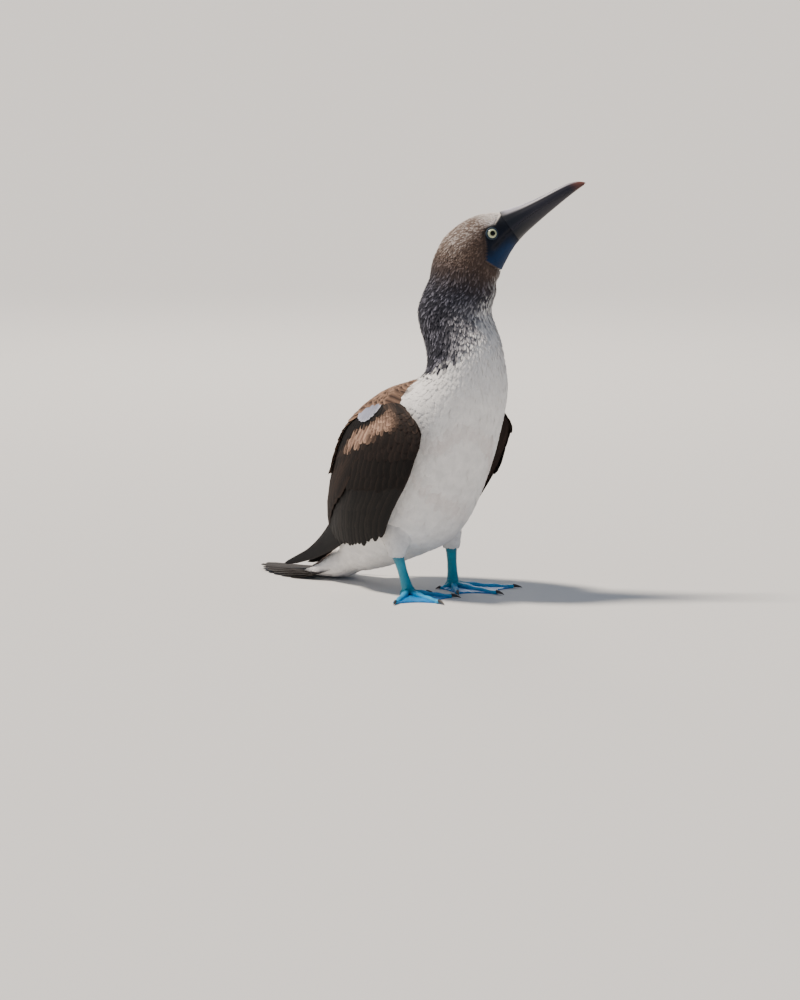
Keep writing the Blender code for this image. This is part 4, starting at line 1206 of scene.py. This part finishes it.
def eyeMaterial(name, side):
    material, tree, shader = startMaterial(name, {
        "Roughness": 0.2, "IOR": 1.35, "Specular IOR Level": 0.1, "Coat Weight": 0.2,
        "Coat Roughness": 0.02})
    middle, look = eyePlace(side)
    place = addNode(tree, "TexCoord", {}, "Object")
    place = addNode(tree, "VectorMath", {"operation": "SUBTRACT", 0: place,
                                         1: tuple(toFrame(middle))})
    ray = addNode(tree, "VectorMath", {"operation": "NORMALIZE", 0: place})
    facing = addNode(tree, "VectorMath", {"operation": "DOT_PRODUCT", 0: ray, 1: tuple(look)},
                     "Value")
    angle = addNode(tree, "Math", {"operation": "ARCCOSINE", 0: facing})
    pupilEdge, irisEdge = (math.asin(eyes[part] / eyes["radius"]) for part in ("pupil", "iris"))
    reach = irisEdge * 1.25
    share = addNode(tree, "MapRange", {"Value": angle, "From Max": reach})
    ramp = addNode(tree, "ValToRGB", {0: share})
    stops = ramp.node.color_ramp.elements
    pupilAt, irisAt = pupilEdge / reach, irisEdge / reach
    stops[0].position, stops[0].color = pupilAt - 0.02, opaque(eyes["pupilColour"])
    stops[1].position, stops[1].color = irisAt + 0.13, opaque(eyes["sclera"])
    for position, key in ((pupilAt + 0.02, "irisRim"), (pupilAt + 0.12, "irisColour"),
                          (irisAt - 0.06, "irisColour"), (irisAt + 0.03, "irisRim")):
        stops.new(position).color = opaque(eyes[key])
    linkShader(tree, shader, {"Base Color": ramp})
    return material


def makeEyes(lidMaterial):
    for side, name in sides:
        place, look = eyePlace(side)
        # turns +Z to the way the eye looks, and moves to its middle
        outward = Vector(look).to_track_quat("Z", "Y").to_matrix().to_4x4()
        outward.translation = Vector(toFrame(place))
        bm = bmesh.new()
        bmesh.ops.create_uvsphere(bm, u_segments=40, v_segments=28,
                                  radius=eyes["radius"] * mm)
        for vert in bm.verts:
            rise = max(0.0, vert.co.z / (eyes["radius"] * mm) - eyes["corneaFrom"])
            bulge = math.sin(rise / (1 - eyes["corneaFrom"]) * math.pi / 2)
            vert.co *= 1 + eyes["cornea"] / eyes["radius"] * bulge
        bmesh.ops.transform(bm, matrix=outward, verts=bm.verts)
        addPiece("eyeball_" + name, smoothMesh(takeMesh("eye_" + name, bm)),
                 eyeMaterial("wetEye_" + name, side), ("eye_" + name,))
        bm = bmesh.new()
        profile = bmesh.ops.create_circle(bm, segments=12, radius=eyes["lidMinor"] * mm)["verts"]
        bmesh.ops.rotate(bm, verts=profile, cent=(0, 0, 0),
                         matrix=Matrix.Rotation(math.pi / 2, 3, "X"))
        bmesh.ops.translate(bm, verts=profile, vec=(eyes["lidMajor"] * mm, 0,
                                                    eyes["lidOut"] * mm))
        bmesh.ops.spin(bm, geom=bm.verts[:] + bm.edges[:], cent=(0, 0, 0), axis=(0, 0, 1),
                       angle=fullTurn, steps=48, use_merge=True)
        bmesh.ops.remove_doubles(bm, verts=bm.verts, dist=1e-6)
        # the lids close in a little from above and below
        bmesh.ops.scale(bm, verts=bm.verts, vec=(1.0, eyes["lidOval"], 1.0))
        bmesh.ops.recalc_face_normals(bm, faces=bm.faces)
        bmesh.ops.transform(bm, matrix=outward, verts=bm.verts)
        mesh = smoothMesh(takeMesh("eyelids_" + name, bm))
        setColours(mesh, linearColour(eyes["lidColour"]))
        addPiece("eyelids_" + name, mesh, lidMaterial)


# The bill

bill = {
    "sections": [
        # forward, culmen, lower edge, half width
        (22.6, 14.4, -26.6, 16.8), (34.0, 10.6, -24.2, 13.2), (47.0, 6.6, -22.5, 10.7),
        (62.0, 3.4, -20.8, 8.9), (78.0, 0.7, -19.3, 7.3), (94.0, -1.7, -18.0, 5.7),
        (107.0, -4.3, -17.2, 4.4), (116.0, -8.0, -16.9, 3.1), (121.0, -11.4, -16.9, 2.0),
        (124.5, -15.0, -17.2, 0.8),
    ],
    # the line that the two halves meet on
    "mouth": [(-5.0, -14.5), (24.0, -9.8), (45.0, -9.4), (65.0, -9.8), (85.0, -11.2),
              (104.0, -13.2), (117.0, -15.2), (124.5, -16.4)],
    # how far each half reaches, its side of the mouth, how square it is, how wide
    "halves": {"bill_upper": (124.5, 0.15, 0.80, 1.03), "bill_lower": (122.4, -0.15, 0.75, 0.96)},
    "start": 22.0, "length": 103.0, "around": 27, "rings": 54,
    # culmen: a painted highlight, pale grey along the bill's top
    "side": "#1F1E28", "base": "#050914", "culmen": "#A9A7B4", "tip": "#74463A",
    "edge": "#332F37",
}


def makeBill(material):
    values = smoothThrough(np.array(bill["sections"], float),
                           np.linspace(0, len(bill["sections"]) - 1, bill["rings"]))
    arch = np.linspace(0, math.pi, bill["around"])
    for name, (reach, seam, square, wide) in bill["halves"].items():
        rings, tints, grain = [], [], []
        upper = seam > 0
        for forward, culmen, under, width in values:
            forward = min(forward, reach)
            base = np.interp(forward, *np.array(bill["mouth"], float).T) + seam
            peak = culmen if upper else under
            rise = np.sin(arch) ** square
            # a shallow groove runs along each side of the upper half
            tuck = 1 - 0.045 * np.exp(-((rise - 0.62) / 0.10) ** 2) * upper
            rings.append(headPoint(np.full(len(arch), forward), -np.cos(arch) * width * wide * tuck,
                                   base + (peak - base) * rise))
            share = (forward - bill["start"]) / bill["length"]
            # painted highlight: a pale line along the culmen, fading towards the tip
            ridge = ease(rise, 0.70, 0.96) * upper
            tints.append(layOver(
                linearColour(bill["base"]), (bill["side"], ease(share, 0.02, 0.42)),
                (bill["culmen"], ridge * (0.9 - 0.35 * share) * ease(share, -0.02, 0.10)),
                (bill["edge"], ease(rise, 0.2, 0.02) * 0.6),
                (bill["tip"], ease(share, 0.80, 0.97) * 0.85)))
            grain.append(np.stack([np.full(len(arch), share), arch / math.pi], axis=1))
        mesh = smoothMesh(takeMesh("billHorn", loftRings(rings)), 60)
        setColours(mesh, np.concatenate(tints))
        setMap(mesh, "grain", np.concatenate(grain))
        addPiece(name + "_horn", mesh, material, (name,))


# Legs and feet

feet = {
    # name, turn outward from the middle toe, length to the claw, claw, root and tip radius
    "toes": [("outer", 40, 73, 10, 4.1, 2.7), ("middle", 0, 77, 12, 4.3, 2.9),
             ("inner", -37, 57, 11, 4.1, 2.8), ("hind", -84, 24, 7, 3.6, 2.2)],
    "turn": {"right": 20.0, "left": -6.0},
    "webHigh": 1.8, "webLow": 0.05, "hollow": 0.13, "webAcross": 28, "webAlong": 24,
    # the web sags between the toes and has folds, a thicker rim and a ridge against each toe
    "sag": 0.5, "folds": 9, "foldHigh": 0.35, "rimHigh": 0.35, "ridgeHigh": 1.3,
    "ringStep": 0.7, "toeSquash": 0.9, "toeAround": 14, "knuckle": 0.09,
    "heelReach": (0.4, 9.2), "heelRadii": [8.6, 9.0, 8.9, 8.6, 8.1, 7.5, 7.0, 6.6, 6.4],
    "heelDeep": 1.2, "heelAround": 20,
    "clawSquash": 1.15, "clawRings": 12,      # and as many points around each
    "claw": "#232226", "clawTip": "#55504D",
}
upward, ahead = np.array([0, 0, 1.0]), np.array([0, -1.0, 0])


# Rings about a line of points; squash is how deep they are for their width.
def tubeRings(points, radii, squash, count, deepWay):
    along = unit(np.gradient(points, axis=0))
    deep = unit(deepWay - along * (along @ deepWay)[:, None])
    side = np.cross(along, deep)
    turn = np.arange(count) / count * fullTurn
    return [point + across * radius * np.cos(turn)[:, None] + down * radius * squash
            * np.sin(turn)[:, None]
            for point, across, down, radius in zip(points, side, deep, radii)]


def toeWay(name, side, turn):
    angle = math.radians(feet["turn"][name] + turn)
    return np.array([side * math.sin(angle), -math.cos(angle), 0])


# Thin skin between the toes, a little slack, with folds that fan out from the heel.
def makeWeb(name, side, heel):
    bm = bmesh.new()
    for near, far in zip(feet["toes"], feet["toes"][1:]):
        tipA, tipB = (heel + toeWay(name, side, toe[1]) * (toe[2] - 1) for toe in (near, far))
        sheet = bmesh.new()
        bmesh.ops.create_grid(sheet, x_segments=feet["webAcross"],
                              y_segments=feet["webAlong"], size=1.0)
        for vert in sheet.verts:
            share, reach = (vert.co.x + 1) / 2, 0.05 + 0.95 * (vert.co.y + 1) / 2
            edge = tipA + (tipB - tipA) * share \
                + (heel - (tipA + tipB) / 2) * feet["hollow"] * 4 * share * (1 - share)
            point = heel + (edge - heel) * reach
            slack = math.sin(math.pi * share)
            wave = math.sin(share * math.pi * feet["folds"] + 2 * reach)
            fold = feet["foldHigh"] * wave * slack * reach
            rim = feet["rimHigh"] * ease(reach, 0.93, 1.0)
            ridge = feet["ridgeHigh"] * (1 - slack) ** 3 * (1 - 0.5 * reach)
            height = feet["webHigh"] - feet["sag"] * slack * reach + fold + rim + ridge
            vert.co = Vector(toFrame((point[0], point[1], height)))
        bottom = bmesh.ops.extrude_face_region(sheet, geom=sheet.faces[:])
        for part in bottom["geom"]:
            if isinstance(part, bmesh.types.BMVert):
                part.co.z = feet["webLow"] * mm
        bmesh.ops.recalc_face_normals(sheet, faces=sheet.faces)
        joinInto(bm, sheet)
    return bm


# How much wider the toe is at places along it, where the scutes overlap like tiles.
def scuted(length):
    return 1 + legs["scuteRise"] * ((length / legs["scuteStep"]) % 1.0)


def makeFeet(material, clawMaterial):
    for side, name in sides:
        heel = np.array([legs["heel"][0] * side, legs["heel"][1], 0.0])
        bm = makeWeb(name, side, heel)
        webCount = len(bm.verts)
        for _, turn, length, _, root, tip in feet["toes"]:
            share = np.linspace(0, 1, int(length / feet["ringStep"]))
            radius = root + (tip - root) * share
            # knuckles, then scutes, then a closed end
            radius = radius * (1 + feet["knuckle"] * np.cos(6 * math.pi * share)
                               * np.minimum(1, 6 * share))
            radius = radius * scuted(share * length)
            radius[-1] *= 0.55
            height = radius * 0.60 + 2.6 * (1 - share) ** 3
            points = heel + toeWay(name, side, turn) * (length * share)[:, None] \
                + upward * height[:, None]
            rings = np.array(tubeRings(points, radius, feet["toeSquash"], feet["toeAround"],
                                       upward))
            rings[:, :, 2] = np.maximum(rings[:, :, 2], feet["webLow"])
            joinInto(bm, loftRings(rings))
        rise = np.linspace(*feet["heelReach"], len(feet["heelRadii"]))
        joinInto(bm, loftRings(tubeRings(heel + upward * rise[:, None], feet["heelRadii"],
                                         feet["heelDeep"], feet["heelAround"], ahead)))
        mesh = smoothMesh(takeMesh("webbedFoot_" + name, bm), 70)
        points = vertexPlaces(mesh)
        away = np.linalg.norm(points[:, :2] - heel[:2], axis=1)
        web = layOver(linearColour(legs["azure"]), (legs["azureDeep"], ease(away, 15, 60) * 0.6))
        toes = layOver(linearColour(legs["toeBlue"]), (legs["teal"], ease(away, 24, 6)))
        setColours(mesh, np.where((np.arange(len(points)) < webCount)[:, None], web, toes))
        addPiece("webbedFoot_" + name, mesh, material, ("foot_" + name,))
        count = feet["clawRings"]
        share = np.linspace(0, 1, count)
        for toe, turn, length, claw, _, tip in feet["toes"]:
            height = tip * 1.15 - (tip * 0.95 - 0.7) * share ** 2
            points = heel + toeWay(name, side, turn) * (length - 0.6 + (claw + 0.9)
                                                        * share)[:, None] \
                + upward * height[:, None]
            radii = tip * 0.64 * (1 - share) ** 0.75 + 0.25
            rings = tubeRings(points, radii, feet["clawSquash"], count, upward)
            mesh = smoothMesh(takeMesh(f"claw_{name}_{toe}", loftRings(rings)), 60)
            tint = layOver(linearColour(feet["claw"]), (feet["clawTip"], share))
            setColours(mesh, np.repeat(tint, count, axis=0))
            setMap(mesh, "grain", np.stack([np.repeat(share, count),
                                            np.tile(np.arange(count) / count, count)], axis=1))
            addPiece(f"claw_{name}_{toe}_horn", mesh, clawMaterial,
                     (f"claw_{name}_{toe}",))


def makeShanks(material):
    places, radii = np.array(legs["shankRadius"]).T
    share, around = np.linspace(0, 1, legs["shankRings"]), legs["shankAround"]
    radii = np.interp(share, places, radii) * scuted(share * legs["shankLength"])
    above, below = legs["overlap"]
    for side, name in sides:
        mirror = np.array([side, 1, 1])
        top = np.array(legs["ankle"]) * mirror + upward * above
        low = np.array(legs["heel"]) * mirror - upward * below
        rings = tubeRings(top + (low - top) * share[:, None], radii, legs["shankDeep"], around,
                          ahead)
        mesh = smoothMesh(takeMesh("shankSkin_" + name, loftRings(rings)), 70)
        tint = layOver(linearColour(legs["tealDark"]), (legs["teal"], ease(share, 0.0, 0.35)))
        setColours(mesh, np.repeat(tint, around, axis=0))
        addPiece("shankSkin_" + name, mesh, material, ("shank_" + name,))


# Finishes. A mottle of 90 to the metre is 11 mm across, and one of 55 is 18 mm.

downLook = {"roughness": 0.85, "sheen": 0.06, "gloss": 0.15, "mottleScale": 90,
            "mottle": (0.90, 1.06), "fringe": 0.0, "fringeColour": "#FFFFFF", "shaft": 0.0,
            "shaftColour": "#FFFFFF", "barbs": 9, "barbRelief": 0.15}
mantleLook = {**downLook, "roughness": 0.78, "sheen": 0.03, "gloss": 0.2, "fringe": 0.35,
              "fringeColour": "#94765E", "shaft": 0.35, "shaftColour": "#1E1511", "barbs": 16,
              "mottle": (0.82, 1.15)}
coverFinish = {**mantleLook, "fringe": 0.08, "fringeColour": "#4A382D", "barbs": 24,
               "sheen": 0.0}
flightFinish = {**coverFinish, "roughness": 0.6, "fringeColour": "#3A2E28",
                "barbs": 90, "shaftColour": "#0B0807", "shaft": 0.6}
tailFinish = {**flightFinish, "roughness": 0.62, "fringe": 0.2, "fringeColour": "#4E3E33",
              "shaftColour": "#4A3B32", "barbs": 60}
faceLook = {"roughness": 0.6, "gloss": 0.2, "coat": 0.0, "scuteSize": 1.6, "mottleScale": 120,
            "mottle": (0.85, 1.15), "rimShade": 0.88, "relief": 0.25}
footLook = {"roughness": 0.38, "gloss": 0.5, "coat": 0.25, "scuteSize": 2.1, "mottleScale": 55,
            "mottle": (0.86, 1.14), "rimShade": 0.80, "relief": 0.35}
hornLook = {"roughness": 0.42, "gloss": 0.35, "coat": 0.06, "grain": (3.0, 34.0, 1.0),
            "mottle": (0.8, 1.2), "relief": 0.12}

placeCamera()
placeStudio()
print("camera, lamps and floor placed")

whiteDown = featherMaterial("whiteDownFeather", downLook)
mantleFeather = featherMaterial("brownMantleFeather", mantleLook)
coverFeather = featherMaterial("darkCovertFeather", coverFinish)
flightFeather = featherMaterial("stiffFlightFeather", flightFinish)
tailFeather = featherMaterial("stiffTailFeather", tailFinish)
bareSkin = skinMaterial("bareFaceSkin", faceLook)
blueSkin = skinMaterial("blueScutedSkin", footLook)
billHorn = hornMaterial("slateBillHorn", hornLook)
clawHorn = hornMaterial("darkClawHorn", {**hornLook, "grain": (4.0, 10.0, 1.0)})
print("finishes made")

makeBodySkin(bareSkin)
for pieceName, start, end, seed, slotName in (
    ("headFeathers", bodyEnd, trunkStart + 19.5, 11, "head_feather"),
    ("neckFeathers", trunkStart + 19.5, trunkStart + 13.4, 12, "neck_feather"),
    ("bodyFeathers", trunkStart + 13.4, 0.15, 13, "white_feather"),
):
    makeVanes(pieceName, bodyFeathers(start, end, seed), coat["look"], whiteDown)
makeThighFeathers(whiteDown)
print("body feathered")

wingFinishes = {"skin": bareSkin, "flight": flightFeather, "cover": coverFeather,
                "mantle": mantleFeather, "down": whiteDown}
for wingSide, wingName in sides:
    makeWing(wingSide, wingName, wingFinishes)
makeTail(tailFeather)
print("wings and tail feathered")

makeEyes(bareSkin)
makeBill(billHorn)
makeShanks(blueSkin)
makeFeet(blueSkin, clawHorn)
print("head, legs and feet finished")
